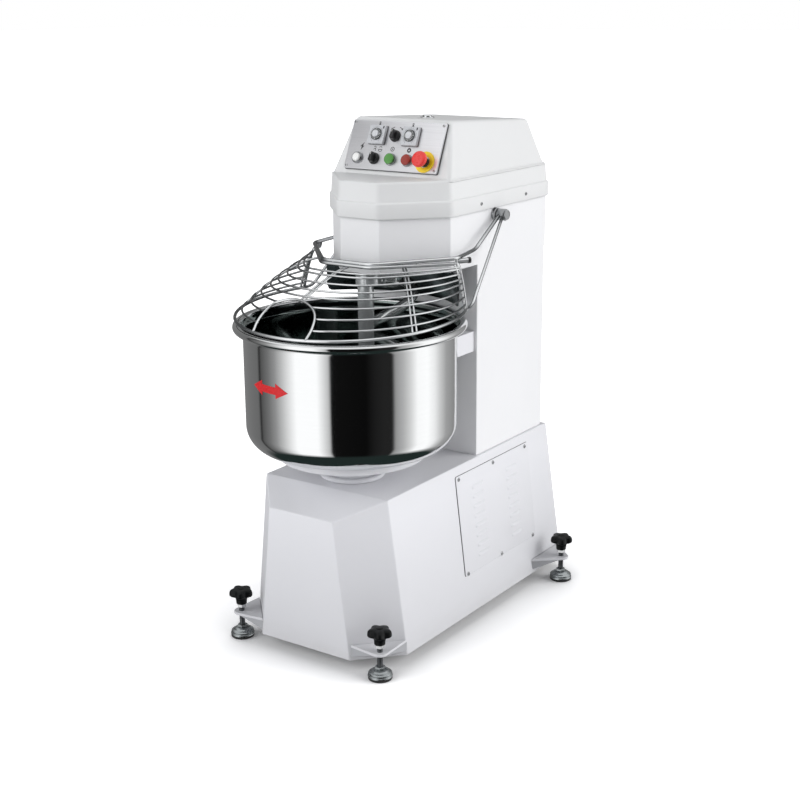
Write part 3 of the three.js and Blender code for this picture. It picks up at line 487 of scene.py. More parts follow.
def chrome(name, color, rough=(0.05, 0.13), edge=0.0, metallic=1.0):
    """Polished metal; edge darkens the base colour on the flanks, a painted reflection of a dark
    studio.
    """
    m = Surface(name)
    spots = m.noise(160.0)
    cloud = m.noise(9.0, rough=0.5)
    c = m.mix(m.remap(cloud, (0.3, 0.7), to=(0.0, 0.4)), color, shade(color, 0.86))
    if edge:
        # painted reflection: the flanks are darkened in the colour itself
        facing = m.node("ShaderNodeLayerWeight", {"Blend": 0.5}).outputs["Facing"]
        painted_flank_reflection = m.remap(facing, (0.22, 0.56), to=(0.0, edge))
        c = m.mix(m.math("MINIMUM", painted_flank_reflection, edge), c, (0.035, 0.042, 0.045))
    r = m.math("ADD", m.remap(spots, (0.4, 0.7), to=rough),
               m.remap(cloud, (0.5, 0.8), to=(0.0, 0.05)))
    return m.finish(c, r, m.bump(spots, strength=0.02, distance=0.0001), Metallic=metallic)


def plated(name, color, rough):
    m = Surface(name)
    spots = m.noise(300.0)
    cloud = m.noise(25.0, detail=4)
    c = m.mix(m.remap(cloud, (0.3, 0.7), to=(0.0, 1.0)), color, shade(color, 0.72))
    return m.finish(c, m.remap(spots, (0.3, 0.7), to=rough),
                    m.bump(spots, strength=0.08, distance=0.0002), Metallic=1.0)


def plastic(name, color, rough, grain=700.0, strength=0.12, coat=0.0, tint=0.85, specular=0.5):
    m = Surface(name)
    height = m.noise(grain, detail=2, rough=0.5)
    c = m.mix(m.remap(m.noise(30.0), (0.3, 0.7), to=(0.0, 0.5)), color, shade(color, tint))
    r = m.remap(m.noise(90.0), (0.3, 0.7), to=rough)
    return m.finish(c, r, m.bump(height, strength, distance=0.0002), Coat_Weight=coat,
                    Coat_Roughness=0.06, Specular_IOR_Level=specular)


def rubber(name):
    m = Surface(name)
    grain = m.noise(500.0)
    cloud = m.remap(m.noise(40.0), (0.3, 0.7), to=(0, 1))
    c = m.mix(cloud, (0.018, 0.018, 0.019), (0.035, 0.034, 0.033))
    return m.finish(c, m.remap(grain, (0.3, 0.7), to=(0.65, 0.9)),
                    m.bump(grain, strength=0.25, distance=0.0004))


def cast(name, color):
    m = Surface(name)
    grain = m.noise(240.0, detail=5, rough=0.7)
    cloud = m.remap(m.noise(12.0, detail=4), (0.3, 0.7), to=(0, 1))
    return m.finish(m.mix(cloud, color, shade(color, 0.7)),
                    m.remap(grain, (0.3, 0.7), to=(0.42, 0.72)),
                    m.bump(grain, strength=0.3, distance=0.0008), Metallic=0.75)


# -------------------------------------------------------------------- materials
# the casing white is a darker copy of the column white; its lower tone is painted shade, and its
# 0.42 of painted shade darkens it further towards the floor
WHITE = paint("white_powder_coat", (0.745, 0.747, 0.772), tint=(0.725, 0.727, 0.752), painted_low_shade=0.42)
COLUMN_WHITE = paint("white_powder_coat_upper", (0.82, 0.822, 0.83), tint=(0.80, 0.802, 0.812),
                     grime=False)
COVER = paint("moulded_cover_white", (0.74, 0.745, 0.743), tint=(0.72, 0.725, 0.723),
              rough=(0.36, 0.48), peel=0.22, grime=False)
BOWL_STEEL = turned_metal("bowl_mirror_steel", (0.80, 0.81, 0.815), rough=(0.045, 0.085))
# the inside of the bowl is the same steel as the outside, painted dark and green as a painted
# reflection of its dark surroundings
BOWL_INSIDE = turned_metal("bowl_inside_steel_painted_reflection", (0.26, 0.30, 0.29), rough=(0.045, 0.085),
                           along=1800, strength=0.02)
HUB = turned_metal("hub_turned_steel", (0.36, 0.37, 0.38), rough=(0.22, 0.36),
                   along=1400, around=8.0, strength=0.14)
# edge: painted dark reflection on the flanks
HOOK_STEEL = chrome("hook_polished_steel", (0.76, 0.78, 0.78), rough=(0.05, 0.12),
                    edge=0.85, metallic=0.78)
BAR_STEEL = turned_metal("breaker_turned_steel", (0.70, 0.72, 0.73), rough=(0.10, 0.2),
                         centre=(0, 66), along=900, around=2.0, strength=0.05, metallic=0.70)
# dark base colour: painted reflection of dark surroundings on the shield's steel
SHIELD_STEEL = turned_metal("shield_steel_painted_dark_reflection", (0.15, 0.18, 0.185), rough=(0.10, 0.2),
                            along=1500, around=4.0)
PANEL_STEEL = brushed("panel_brushed_steel", (0.84, 0.84, 0.865), rough=(0.26, 0.38),
                      scale=(6.0, 900.0, 900.0), strength=0.06, anisotropic=0.35, metallic=0.8)
# edge: painted dark reflection on the flanks
WIRE = chrome("guard_chrome_wire", (0.84, 0.855, 0.865), rough=(0.06, 0.13),
              edge=0.92, metallic=0.72)
CAP_CHROME = chrome("lifting_plug_chrome", (0.80, 0.82, 0.83), rough=(0.05, 0.12))
HUB_STEEL = chrome("spiral_hub_steel", (0.62, 0.63, 0.66), rough=(0.12, 0.2), metallic=0.62)
PIN = turned_metal("pin_turned_steel", (0.46, 0.47, 0.48), rough=(0.2, 0.34),
                   along=1400, around=8.0, strength=0.14)
SCREW = plated("screw_plated", (0.62, 0.63, 0.64), rough=(0.16, 0.3))
ZINC = plated("pad_zinc", (0.46, 0.49, 0.50), rough=(0.2, 0.38))
STUD = plated("stud_dark_steel", (0.20, 0.21, 0.22), rough=(0.3, 0.45))
DARK = plated("dark_rolled_steel", (0.13, 0.14, 0.15), rough=(0.4, 0.6))
CAST = cast("cast_grey", (0.20, 0.21, 0.22))
MOTOR = paint("motor_enamel", (0.10, 0.15, 0.20), tint=(0.085, 0.13, 0.18),
              rough=(0.4, 0.55), peel=0.3, grime=False)
BLACK = plastic("black_plastic", (0.014, 0.014, 0.015), rough=(0.26, 0.38), coat=0.12)
KNOB = plastic("star_knob_plastic", (0.0035, 0.0042, 0.0045), rough=(0.34, 0.46),
               grain=900.0, strength=0.2, specular=0.22)
# darker copy of the white paint for the foot plates' flanges: painted shade under the plates
SHADED_FLANGE = paint("flange_painted_shade", (0.36, 0.365, 0.38), tint=(0.34, 0.345, 0.36),
               grime=False)
GREY = plastic("grey_plastic", (0.50, 0.51, 0.53), rough=(0.32, 0.46))
TIMER = plastic("timer_bezel_grey", (0.56, 0.57, 0.59), rough=(0.24, 0.36), strength=0.08)
LENS = plastic("lamp_lens_white", (0.90, 0.90, 0.88), rough=(0.08, 0.16),
               grain=260.0, coat=0.5, tint=0.94)
GREEN = plastic("button_green", (0.085, 0.30, 0.055), rough=(0.14, 0.24), coat=0.35, tint=0.8)
DARK_RED = plastic("button_dark_red", (0.30, 0.028, 0.018), rough=(0.14, 0.24),
                   coat=0.35, tint=0.75)
RED = plastic("estop_red", (0.78, 0.045, 0.04), rough=(0.22, 0.34), coat=0.25, tint=0.9)
YELLOW = plastic("estop_yellow", (0.90, 0.66, 0.015), rough=(0.34, 0.46), tint=0.93)
PRINT = plastic("printed_black", (0.03, 0.03, 0.032), rough=(0.4, 0.5))
DECAL = plastic("decal_red", (0.62, 0.016, 0.02), rough=(0.26, 0.36), tint=0.9)
MARK = plastic("pointer_white", (0.85, 0.85, 0.83), rough=(0.35, 0.45))
NYLON = plastic("nylon", (0.76, 0.75, 0.69), rough=(0.35, 0.5))
BELT = rubber("belt_rubber")
SOLE = rubber("foot_rubber")
BEZEL = chrome("button_bezel_chrome", (0.36, 0.37, 0.38), rough=(0.14, 0.24))
SILVER = plastic("dial_silver", (0.62, 0.63, 0.65), rough=(0.24, 0.34), strength=0.06)
DIAL = plastic("dial_dark_grey", (0.060, 0.066, 0.068), rough=(0.3, 0.42), strength=0.08)

# -------------------------------------------------------------------- screws
# domed head with a recess: (share of radius, share of height)
SCREW_HEAD = [(0, 0), (1, 0), (1, 0.35), (0.93, 0.62), (0.75, 0.85), (0.48, 0.97), (0.46, 0.97),
              (0.42, 0.45), (0, 0.4)]


def screws(name, frame, places, radius, height, washer=0.0, base=0.0):
    """Screw heads along the frame's third axis, on washers of a given radius."""
    mesh = Mesh(frame)
    for at in places:
        z = base
        if washer:
            mesh.lathe([(0, z), (washer, z), (washer, z + 0.7), (washer - 0.4, z + 0.9),
                        (0, z + 0.9)], 28, at)
            z += 0.8
        mesh.lathe([(r * radius, z + h * height) for r, h in SCREW_HEAD], 24, at)
    build(name, mesh, SCREW)


# -------------------------------------------------------------------- base casing
CASING_TOP, CASING_BOTTOM = 419.4, 30.4
HALF_TOP, HALF_BOTTOM = 186.0, 234.3        # half widths of the casing
SLOPE = (HALF_BOTTOM - HALF_TOP) / (CASING_TOP - CASING_BOTTOM)
SLANT = hypot(1, SLOPE)                     # length up the side for each unit of height


def plane(p, q, r):
    """The plane through three points as (outward normal, distance)."""
    normal = (Vector(q) - Vector(p)).cross(Vector(r) - Vector(p)).normalized()
    if normal.dot(Vector((0, 200, 200)) - Vector(p)) > 0:
        normal.negate()
    return normal, normal.dot(Vector(p))


def meet(*planes):
    normals, distances = zip(*planes)
    return tuple(Matrix(normals).inverted() @ Vector(distances))


def side_x(z):
    return HALF_TOP + (CASING_TOP - z) * SLOPE


NOSE, NOSE_LEFT = (95.7, -212.9, 376.3), (-95.7, -212.9, 376.3)
SHOULDER = (HALF_TOP, -112.9, CASING_TOP)
CHAMFER_FOOT = (HALF_BOTTOM, -104.5, CASING_BOTTOM)
TOP = plane((0, 0, CASING_TOP), (1, 0, CASING_TOP), (0, 1, CASING_TOP))
SIDE = plane(SHOULDER, (HALF_TOP, 600, CASING_TOP), CHAMFER_FOOT)
CHAMFER = plane(NOSE, SHOULDER, CHAMFER_FOOT)
HOOD = plane(NOSE, SHOULDER, NOSE_LEFT)
FRONT = plane(NOSE, NOSE_LEFT, (0, -208.65, CASING_BOTTOM))
REAR = plane((0, 655.1, CASING_TOP), (1, 655.1, CASING_TOP), (0, 668.8, CASING_BOTTOM))
BOTTOM = plane((0, 0, CASING_BOTTOM), (1, 0, CASING_BOTTOM), (0, 1, CASING_BOTTOM))


def base_shell():
    right = [meet(TOP, HOOD, CHAMFER), meet(TOP, SIDE, CHAMFER), meet(FRONT, HOOD, CHAMFER),
             meet(FRONT, CHAMFER, BOTTOM), meet(SIDE, CHAMFER, BOTTOM),
             meet(SIDE, REAR, BOTTOM), meet(SIDE, REAR, TOP)]
    folded("base_shell", right + [(-x, y, z) for x, y, z in right], WHITE, "base_casing",
           fold=3.0, is_open=lambda normal, centre: normal.z < -0.9)


PANEL_Z = 263.0                     # height of the middle of the service panel
PANEL_REACH = 131.0 * SLANT         # from its middle to its top and bottom edges
PANEL_FACE = 2.2


def on_side(u, y, n):
    """Frame on the right side: u up the slope from PANEL_Z, y to the rear, n outwards."""
    return (side_x(PANEL_Z) - u * SLOPE / SLANT + n / SLANT, y,
            PANEL_Z + u / SLANT + n * SLOPE / SLANT)


def louvre(mesh, u, y, length=55.0, rise=9.0, proud=3.4, sheet=1.2):
    """A pressed half hood, open along its lower edge."""
    rings = []
    for i in range(15):
        t = i / 14
        swell = min(1.0, sin(pi * t) * 2.2) ** 0.6 if 0 < t < 1 else 0.0
        along = y - length / 2 + length * t
        outer = [(u + rise * 0.55 - rise * k / 4, along,
                  PANEL_FACE + proud * swell * sin(k / 4 * pi / 2)) for k in range(5)]
        inner = [(p[0] + (0.2 if k == 0 else 0), along,
                  max(2.0, p[2] - sheet * min(1.0, swell + 0.15))) for k, p in enumerate(outer)]
        rings.append(outer + inner[::-1])
    mesh.skin(rings)


def service_panel():
    reach = PANEL_REACH
    mesh = Mesh(on_side)
    mesh.slab(rect(-reach, reach, 178.0, 540.0, 4.0), 0.4, PANEL_FACE, edge=0.5)
    # dark gap round the panel
    mesh.slab(rect(-reach - 0.9, reach + 0.9, 176.4, 540.9, 4.6), 0.12, 0.5, mat=1)
    for row in range(8):
        u = 87 - row * 26
        for y in (359 - 85.5, 359 + 85.5):
            louvre(mesh, u, y)
            # painted shade: a dark strip under the louvre stands in for the shadow in its open
            # slot
            mesh.slab(rect(u - 4.6, u - 3.2, y - 26, y + 26, 0.5, 2), 2.1, 2.35, mat=1)
    build("service_panel", mesh, [WHITE, PRINT], "base_access_panel", angle=30)
    places = [((z - PANEL_Z) * SLANT, y) for y in (190.0, 358.0, 524.0) for z in (385.5, 135.5)]
    screws("service_panel_screws", on_side, places, 4.2, 2.4, washer=5.6, base=PANEL_FACE)


base_shell()
service_panel()
cad("base_frame", DARK, 1.5)

# -------------------------------------------------------------------- column and head
COLUMN_HALF, COLUMN_FRONT, COLUMN_REAR = 178.5, 297.1, 636.0
HEAD_FRONT, HEAD_FRONT_HALF = 44.6, 57.7    # front edge of the head and its half width
HEAD_SHOULDER = 173.3                       # y where the head reaches its full width
HEAD_REAR, HEAD_BOTTOM, HEAD_TOP = 643.8, 920.0, 1060.0


def head_outline(out):
    """Plan of the head, every side moved outwards; starts at the front left corner."""
    dx, dy = COLUMN_HALF - HEAD_FRONT_HALF, HEAD_SHOULDER - HEAD_FRONT
    length = hypot(dx, dy)
    nx, ny = dy / length, -dx / length
    reach = nx * HEAD_FRONT_HALF + ny * HEAD_FRONT + out
    front, side, rear = HEAD_FRONT - out, COLUMN_HALF + out, HEAD_REAR + out
    front_x, shoulder_y = (reach - ny * front) / nx, (reach - nx * side) / ny
    return [(-front_x, front), (front_x, front), (side, shoulder_y),
            (side, rear), (-side, rear), (-side, shoulder_y)]


def column_and_head():
    foot = [(-COLUMN_HALF, COLUMN_FRONT), (COLUMN_HALF, COLUMN_FRONT),
            (COLUMN_HALF, COLUMN_REAR), (-COLUMN_HALF, COLUMN_REAR)]
    head = head_outline(0)
    points = raised(foot, CASING_TOP + 0.4) + raised(foot, HEAD_BOTTOM)
    points += raised(head, HEAD_BOTTOM) + raised(head, HEAD_TOP)
    # points: 0-3 column foot, 4-7 column top, 8-13 head bottom, 14-19 head top
    faces = [(0, 1, 5, 4), (1, 2, 6, 11, 17, 16, 10, 5), (3, 0, 4, 13, 19, 18, 12, 7),
             (2, 3, 7, 6), (6, 7, 12, 11), (8, 9, 10, 5, 4, 13), (11, 12, 18, 17),
             (8, 14, 15, 9), (9, 15, 16, 10), (13, 19, 14, 8)]
    folded("column_and_head", points, COLUMN_WHITE, "column_casing", fold=2.6, faces=faces,
           is_open=lambda normal, centre: normal.z < -0.9 and centre.y < 0.1, rim=0.0082)


column_and_head()
cad("head_bottom_plate", DARK, 0.6)
cad("rear_cover", COLUMN_WHITE, 0.7)
cad("electrical_box", GREY, 1.0)
screws("rear_cover_screws", lambda x, z, n: (x, 639.0 + n, z),
       [(x, z) for z in (436.0, 670.0, 904.0) for x in (-168.0, 168.0)], 4.0, 2.2, washer=5.2)

# -------------------------------------------------------------------- head cover
COVER_OUT = 8.0                                     # how far the band stands out of the head
BAND_RADII = [26.0, 26.0, 26.0, 12.0, 12.0, 26.0]   # plan corners of the head
# lower band of the cover: (distance out of the head, height)
BAND_PROFILE = [(6.4, 1055.5), (7.5, 1056.1), (COVER_OUT, 1057.6), (COVER_OUT, 1090.4),
                (7.6, 1092.6), (6.6, 1094.0), (5.2, 1094.8), (4.2, 1095.6), (3.7, 1097.2),
                (0.8, 1136.5), (0.2, 1139.5), (-1.0, 1141.6), (-2.8, 1142.8), (-5.0, 1143.2),
                (-40.0, 1143.6)]
HOOD_Z, HOOD_FRONT, HOOD_REAR = 1141.0, 172.0, 633.0            # foot of the hood
HOOD_HALF = COLUMN_HALF - 1.0
TOP_FRONT, TOP_REAR = (142.2, 231.0, 1278.6), (147.9, 593.7, 1258.2)    # top right corners


def cover_band():
    mesh = Mesh()
    mesh.skin([raised(rounded(head_outline(out), [max(2.0, r + out * 0.5) for r in BAND_RADII],
                              6), z) for out, z in BAND_PROFILE], start=False)
    build("head_cover_band", mesh, COVER, "head_cover", angle=60, wall=3.2)


def hood_ring(t, inset=0.0, radius=11.0):
    """Section of the hood, t from 0 at the band to 1 at the top."""
    right = [Vector((HOOD_HALF, HOOD_FRONT, HOOD_Z)).lerp(Vector(TOP_FRONT), t),
             Vector((HOOD_HALF, HOOD_REAR, HOOD_Z)).lerp(Vector(TOP_REAR), t)]
    front, rear = right
    plan = [(-front.x, front.y), (front.x, front.y), (rear.x, rear.y), (-rear.x, rear.y)]
    return [(x, y, front.z + (rear.z - front.z) * (y - front.y) / (rear.y - front.y))
            for x, y in rounded(offset(plan, -inset), radius, 6)]


def hood_top(y):
    return TOP_FRONT[2] + ((TOP_REAR[2] - TOP_FRONT[2]) * (y - TOP_FRONT[1])
                           / (TOP_REAR[1] - TOP_FRONT[1]))


def cover_hood():
    rings = []
    # concave root where the hood leaves the band: height and distance outwards
    for lift, out in ((0.0, 5.5), (1.2, 3.0), (2.8, 1.2), (5.2, 0.3)):
        plan = [(x, y) for x, y, z in hood_ring(lift / 137.0)]
        rings.append(raised(offset(plan, out), HOOD_Z + lift))
    rings += [hood_ring(t) for t in (0.10, 0.3, 0.5, 0.7, 0.88, 0.945)]
    # rounded top edge
    for k in range(1, 7):
        angle = pi / 2 * k / 6
        bend = 1 - cos(angle)
        rings.append(hood_ring(0.945 + 0.055 * sin(angle), 7.0 * bend, 11.0 - 2.0 * bend))
    rim = rings[-1]
    middle_x, middle_y = (sum(p[i] for p in rim) / len(rim) for i in (0, 1))
    for scale in (0.8, 0.4):
        plan = [(middle_x + (x - middle_x) * scale, middle_y + (y - middle_y) * scale)
                for x, y, z in rim]
        rings.append([(x, y, hood_top(y)) for x, y in plan])
    mesh = Mesh()
    mesh.skin(rings, start=False)
    build("head_cover_hood", mesh, COVER, angle=None, wall=3.2)


def lifting_plug():
    """Turned plug in the top of the hood, heights from the hood's surface."""
    y = 341.0
    top = hood_top(y)
    mesh = Mesh(shifted(0, y, top))
    mesh.lathe([(0, 1236 - top), (8, 1236 - top), (8, -0.3), (17.5, -0.3), (18, 0.5),
                (17.6, 1.8), (16.4, 2.4), (14.2, 2.4), (13.2, 1.6)], 48)
    # painted shade: dark steel in the groove
    mesh.lathe([(13.2, 1.6), (12.6, 1.5), (11.8, 1.6)], 48, mat=1)
    mesh.lathe([(11.8, 1.6), (11.7, 4.4), (10.9, 6.2), (9.2, 7.0), (6.8, 7.2), (6.2, 6.8)], 48)
    # painted shade: dark steel in the socket
    mesh.lathe([(6.2, 6.8), (5.6, 3.4), (0, 3.0)], 48, mat=1)
    build("lifting_bolt_turned", mesh, [CAP_CHROME, DARK], "lifting_bolt", angle=50)


cover_band()
cover_hood()
for side_name, side in SIDES:
    screws(f"cover_screws_{side_name}",
           lambda y, z, n: (side * (COLUMN_HALF + COVER_OUT + n), y, z),
           [(300.6, 1073.0), (521.0, 1073.0)], 4.6, 2.6)
lifting_plug()

# -------------------------------------------------------------------- operator panel
PLATE_AT = (201.9, 1211.3)          # y and z of the panel's middle, behind the plate
PLATE_UP = (0.3965, 0.91803)        # y and z of the direction up the panel
PLATE_OUT = (-0.91803, 0.3965)      # y and z of the direction out of the panel
PLATE_THICK = 8.0
UPPER_ROW, LOWER_ROW = 24.5, -35.5  # heights of the control rows up the panel
START_X, STOP_X = -1.2, 48.4


def on_plate(across=0.0, up=0.0):
    """Frame centred on a control: x to the right, y up the panel, z out of the plate's face."""
    def frame(x, y, z):
        u, n = up + y, PLATE_THICK + z
        return (across + x, *(PLATE_AT[i] + PLATE_UP[i] * u + PLATE_OUT[i] * n for i in (0, 1)))
    return frame


def plate():
    mesh = Mesh(on_plate())
    mesh.slab(rect(-138.3, 138.3, -63.25, 63.25, 4.0, 5), 0.4 - PLATE_THICK, 0, edge=1.0)
    build("panel_plate", mesh, PANEL_STEEL, "control_panel", angle=25)
    # dark rim a little larger than the plate, behind it: painted shadow along the plate's edges
    mesh = Mesh(on_plate())
    mesh.slab(rect(-139.3, 139.3, -64.2, 64.2, 4.6, 5), 0.35 - PLATE_THICK, 3.2 - PLATE_THICK,
              edge=0.4)
    build("panel_painted_shadow_rim", mesh, PRINT, angle=25)


def printing():
    """Raised black symbols on the plate."""
    low, high = 0.02, 0.12
    mesh = Mesh(on_plate())

    def arc(x, y, radius, width, start=0.0, end=2.0, steps=32):
        """A ring, or a part of one between angles in half turns."""
        full = end - start == 2.0
        inner, outer = radius - width / 2, radius + width / 2
        rows = []
        for i in range(steps if full else steps + 1):
            angle = (start + (end - start) * i / steps) * pi
            rows.append([(*polar(r, angle, x, y), z) for r, z in
                         ((inner, low), (outer, low), (outer, high), (inner, high))])
        mesh.skin(rows, closed=full)

    def shape(*points):
        mesh.slab(points, low, high)

    # lightning bolt above the lamp
    shape((-98.4, -15.6), (-90.2, -4.2), (-94.8, -4.8), (-90.6, 5.4), (-102.4, -6.4),
          (-97.8, -5.6))
    # start: circle with a dot; stop: heavy ring
    arc(-3.2, -8.6, 5.0, 1.7)
    mesh.lathe([(0, low), (1.7, low), (1.7, high), (0, high)], 16, (-3.2, -8.6))
    arc(46.0, -9.3, 4.1, 3.6)
    # hook and bowl above the lower selector
    arc(-56.0, -12.4, 2.9, 1.5, -0.4, 1.0)
    arc(-56.0, -6.6, 2.7, 1.5, -0.5, 0.9)
    arc(-39.5, -11.6, 5.0, 1.4, 1.0, 2.0)
    shape((-45.4, -12.2), (-33.6, -12.2), (-33.6, -10.8), (-45.4, -10.8))
    arc(-39.5, -7.6, 4.0, 1.2, 0.10, 0.90)
    # small symbols above the timers
    for x in (-57.0, 42.0):
        arc(x, 57.2, 1.9, 1.4)
        shape((x - 4.2, 50.4), (x + 4.2, 50.4), (x + 0.8, 55.2), (x - 0.8, 55.2))
    # direction marks above the upper selector
    arc(-3.0, UPPER_ROW, 24.0, 1.6, 0.60, 0.72, steps=8)
    shape((-21.2, 39.6), (-15.8, 41.6), (-19.6, 46.0))
    arc(-3.0, UPPER_ROW, 24.0, 1.6, 0.28, 0.40, steps=8)
    shape((9.8, 41.6), (15.2, 39.6), (13.6, 46.0))
    build("panel_printing", mesh, PRINT, angle=30)


def timer(side_name, x):
    # square case with a recessed round dial seat
    mesh = Mesh(on_plate(x, UPPER_ROW))
    square = rect(-24, 24, -24, 24, 2.6, 5)
    rings = [raised(square, 0.4), raised(square, 8.6)]
    for k in range(1, 4):
        angle = pi / 2 * k / 3
        rings.append(raised(offset(square, -1.4 * (1 - cos(angle))), 8.6 + 1.4 * sin(angle)))
    # circles matched to the square by direction: radius and height
    for radius, z in ((17.6, 10.0), (17.0, 9.0), (15.0, 8.6), (4.0, 8.6), (3.5, -4.0)):
        rings.append([(*polar(radius, atan2(q[1], q[0])), z) for q in square])
    mesh.skin(rings, start=False)
    mesh.slab(rect(-22.4, 22.4, -22.4, 22.4, 1.5), -42.0, 0.6)
    for k in range(31):     # scale marks round the dial
        length, half = (2.6, 0.35) if k % 5 == 0 else (1.5, 0.22)
        tip = 18.4 + length
        tick = [(18.4, -half), (tip, -half), (tip, half), (18.4, half)]
        mesh.slab(rotated(tick, radians(240 - k * 10)), 9.95, 10.12, mat=1)
    # black window at the corner, and behind the case a dark sheet a little larger than it: painted
    # shade along the case's sides
    mesh.slab(rect(16.2, 19.8, -9.9 + 24.5, 21.2, 0.8), 9.9, 10.3, mat=1)
    mesh.slab(rect(-24.6, 24.6, -24.6, 24.6, 2.8), 0.1, 1.8, mat=1)
    build(f"timer_{side_name}_case", mesh, [TIMER, PRINT],
          f"timer_{side_name}_body", angle=32)

    mesh = Mesh(on_plate(x, UPPER_ROW))
    mesh.lathe([(0, -2), (3, -2), (3, 10.2), (14.8, 10.5), (15.2, 11.0), (15.2, 12.6),
                (14.7, 13.2), (13.2, 13.5), (9.4, 13.5)], 48)
    mesh.lathe([(9.4, 13.5), (9.0, 13.7), (8.8, 16.2), (8.2, 16.9), (7.0, 17.1), (3.4, 16.5),
                (0, 16.3)], 48, mat=1)
    for k in range(24):     # grip ribs round the inner knob
        rib = [(8.7, 0.5), (8.7, -0.5), (9.3, -0.35), (9.3, 0.35)]
        mesh.slab(rotated(rib, 2 * pi * k / 24), 13.5, 16.4, mat=1)
    for k in range(20):     # raised white marks on the dial rim
        half, tip = (0.55, 14.2) if k % 5 == 0 else (0.3, 13.4)
        tick = [(10.9, half), (10.9, -half), (tip, -half), (tip, half)]
        mesh.slab(rotated(tick, 2 * pi * k / 20), 13.1, 13.62, mat=2)
    build(f"timer_{side_name}_knob", mesh, [DIAL, SILVER, MARK],
          f"timer_{side_name}_dial", f"timer_{side_name}_knob", angle=35)


# plan of a selector's finger bar, waisted, its long end along the first axis
FINGER_BAR = [(-11.5, 0.0), (-11.0, -4.4), (-8.0, -6.0), (-3.0, -5.2), (2.0, -4.6), (8.0, -4.0),
              (13.2, -2.2), (14.6, 0.0), (13.2, 2.2), (8.0, 4.0), (2.0, 4.6), (-3.0, 5.2),
              (-8.0, 6.0), (-11.0, 4.4)]


def selector(kind, x, y):
    """Black rotary selector: bezel, skirt and a finger bar that points up the panel."""
    mesh = Mesh(on_plate(x, y))
    mesh.lathe([(0, -34), (9, -34), (9, 0.5), (14.6, 0.5), (14.9, 1.2), (14.6, 3.4), (13.8, 4.4),
                (13.0, 4.6), (12.8, 4.2), (12.4, 4.4), (12.2, 7.2), (11.4, 8.0), (0, 8.2)], 48)
    bar = rotated(FINGER_BAR, radians(90))
    mesh.skin([[(px * scale, py * scale, z) for px, py in bar] for scale, z in
               ((1.0, 7.6), (0.99, 9.5), (0.95, 16.5), (0.90, 19.0), (0.80, 20.2), (0.5, 20.6))])
    pointer = [(5.0, -0.55), (12.0, -0.55), (12.0, 0.55), (5.0, 0.55)]
    mesh.slab(rotated(pointer, radians(90)), 20.0, 20.75, mat=1)
    build(f"{kind}_selector_knob", mesh, [BLACK, MARK], f"{kind}_selector",
          f"{kind}_switch", angle=42)


def power_lamp():
    mesh = Mesh(on_plate(-102.0, LOWER_ROW))
    mesh.lathe([(0, -34), (9, -34), (9, 0.4), (14.4, 0.4), (14.8, 1.0), (14.7, 4.6), (14.0, 6.2),
                (12.6, 7.0), (11.4, 6.6), (11.2, 5.6)], 56)
    mesh.lathe([(11.2, 5.6), (11.1, 7.0), (10.6, 9.0), (9.2, 10.4), (6.6, 11.2), (3.2, 11.5),
                (0, 11.6)], 56, mat=1)
    build("power_lamp_lens", mesh, [BEZEL, LENS], "power_lamp", angle=40)


def push_buttons():
    """Fixed bezel rings on the plate, then the moving caps."""
    mesh = Mesh(on_plate())
    for x in (START_X, STOP_X):
        mesh.lathe([(13.9, 0.1), (15.1, 0.1), (15.4, 0.6), (15.3, 2.0), (14.9, 2.8), (14.2, 3.0),
                    (13.9, 2.6)], 48, (x, LOWER_ROW), closed=True)
    build("button_bezels", mesh, BEZEL, angle=40)
    for kind, x, mat, slot in (("start", START_X, GREEN, "green_plastic"),
                               ("stop", STOP_X, DARK_RED, "dark_red_plastic")):
        mesh = Mesh(on_plate(x, LOWER_ROW))
        mesh.lathe([(0, -32), (8.5, -32), (8.5, 4.5), (11.3, 5.4), (13.2, 7.6), (13.6, 8.2),
                    (13.6, 10.2), (13.2, 11.2), (12.2, 11.9), (11.0, 12.3), (10.4, 12.0),
                    (9.0, 11.8), (0, 11.9)], 56)
        build(f"{kind}_button_cap", mesh, mat, f"{kind}_button", f"{kind}_push", angle=40)


def emergency_stop(x=101.0, y=-37.5):
    mesh = Mesh(on_plate(x - 1.4, y + 1.2))
    mesh.lathe([(14.2, 0.4), (26.4, 0.4), (26.8, 0.9), (26.6, 2.0), (26.0, 2.4), (14.6, 2.5),
                (14.2, 2.2)], 64, closed=True)
    build("estop_disc", mesh, YELLOW, "estop_plate", angle=40)

    mesh = Mesh(on_plate(x, y))
    mesh.lathe([(0, -34), (9, -34), (9, 3), (11.4, 3.2), (11.6, 4.0), (11.6, 9.0), (11.0, 10.0),
                (9.2, 10.4), (9.0, 18.0), (4, 18.3), (4, 31.0), (0, 31.0)], 48)
    build("estop_plunger_body", mesh, BLACK, "estop_stem", "estop_plunger",
          angle=40)

    mesh = Mesh(on_plate(x, y))
    mesh.lathe([(4.4, 20.4), (12.0, 19.6), (15.5, 20.4), (18.2, 22.8), (19.7, 26.2), (20.0, 28.6),
                (19.8, 31.0), (18.9, 33.4), (17.2, 35.2), (14.6, 36.3), (11.0, 36.8), (5.0, 37.0),
                (0, 37.0)], 64)
    mesh.lathe([(4.4, 20.4), (4.4, 31.4), (0, 31.4)], 64)
    for k in range(2):      # two raised arcs on the face
        mesh.skin([[(*polar(r, pi * k + 0.5 + 1.9 * i / 14), z) for r, z in
                    ((10.2, 36.6), (12.4, 36.4), (12.4, 37.1), (10.2, 37.2))]
                   for i in range(15)])
    build("estop_head_cap", mesh, RED, "estop_button", "estop_head", angle=40)


plate()
printing()
screws("panel_screws", on_plate(), [(x, y) for x in (-131.0, 131.0) for y in (-56.5, 56.5)],
       3.6, 1.8)
timer("left", -54.5)
timer("right", 44.8)
selector("speed", -3.0, UPPER_ROW)
selector("mode", -51.2, LOWER_ROW)
power_lamp()
push_buttons()
emergency_stop()

# -------------------------------------------------------------------- bowl
BOWL_RADIUS, BOWL_WALL = 260.5, 3.0
BOWL_CORNER, BOWL_FLOOR = 62.0, 498.2       # outer bend, and the height where it starts


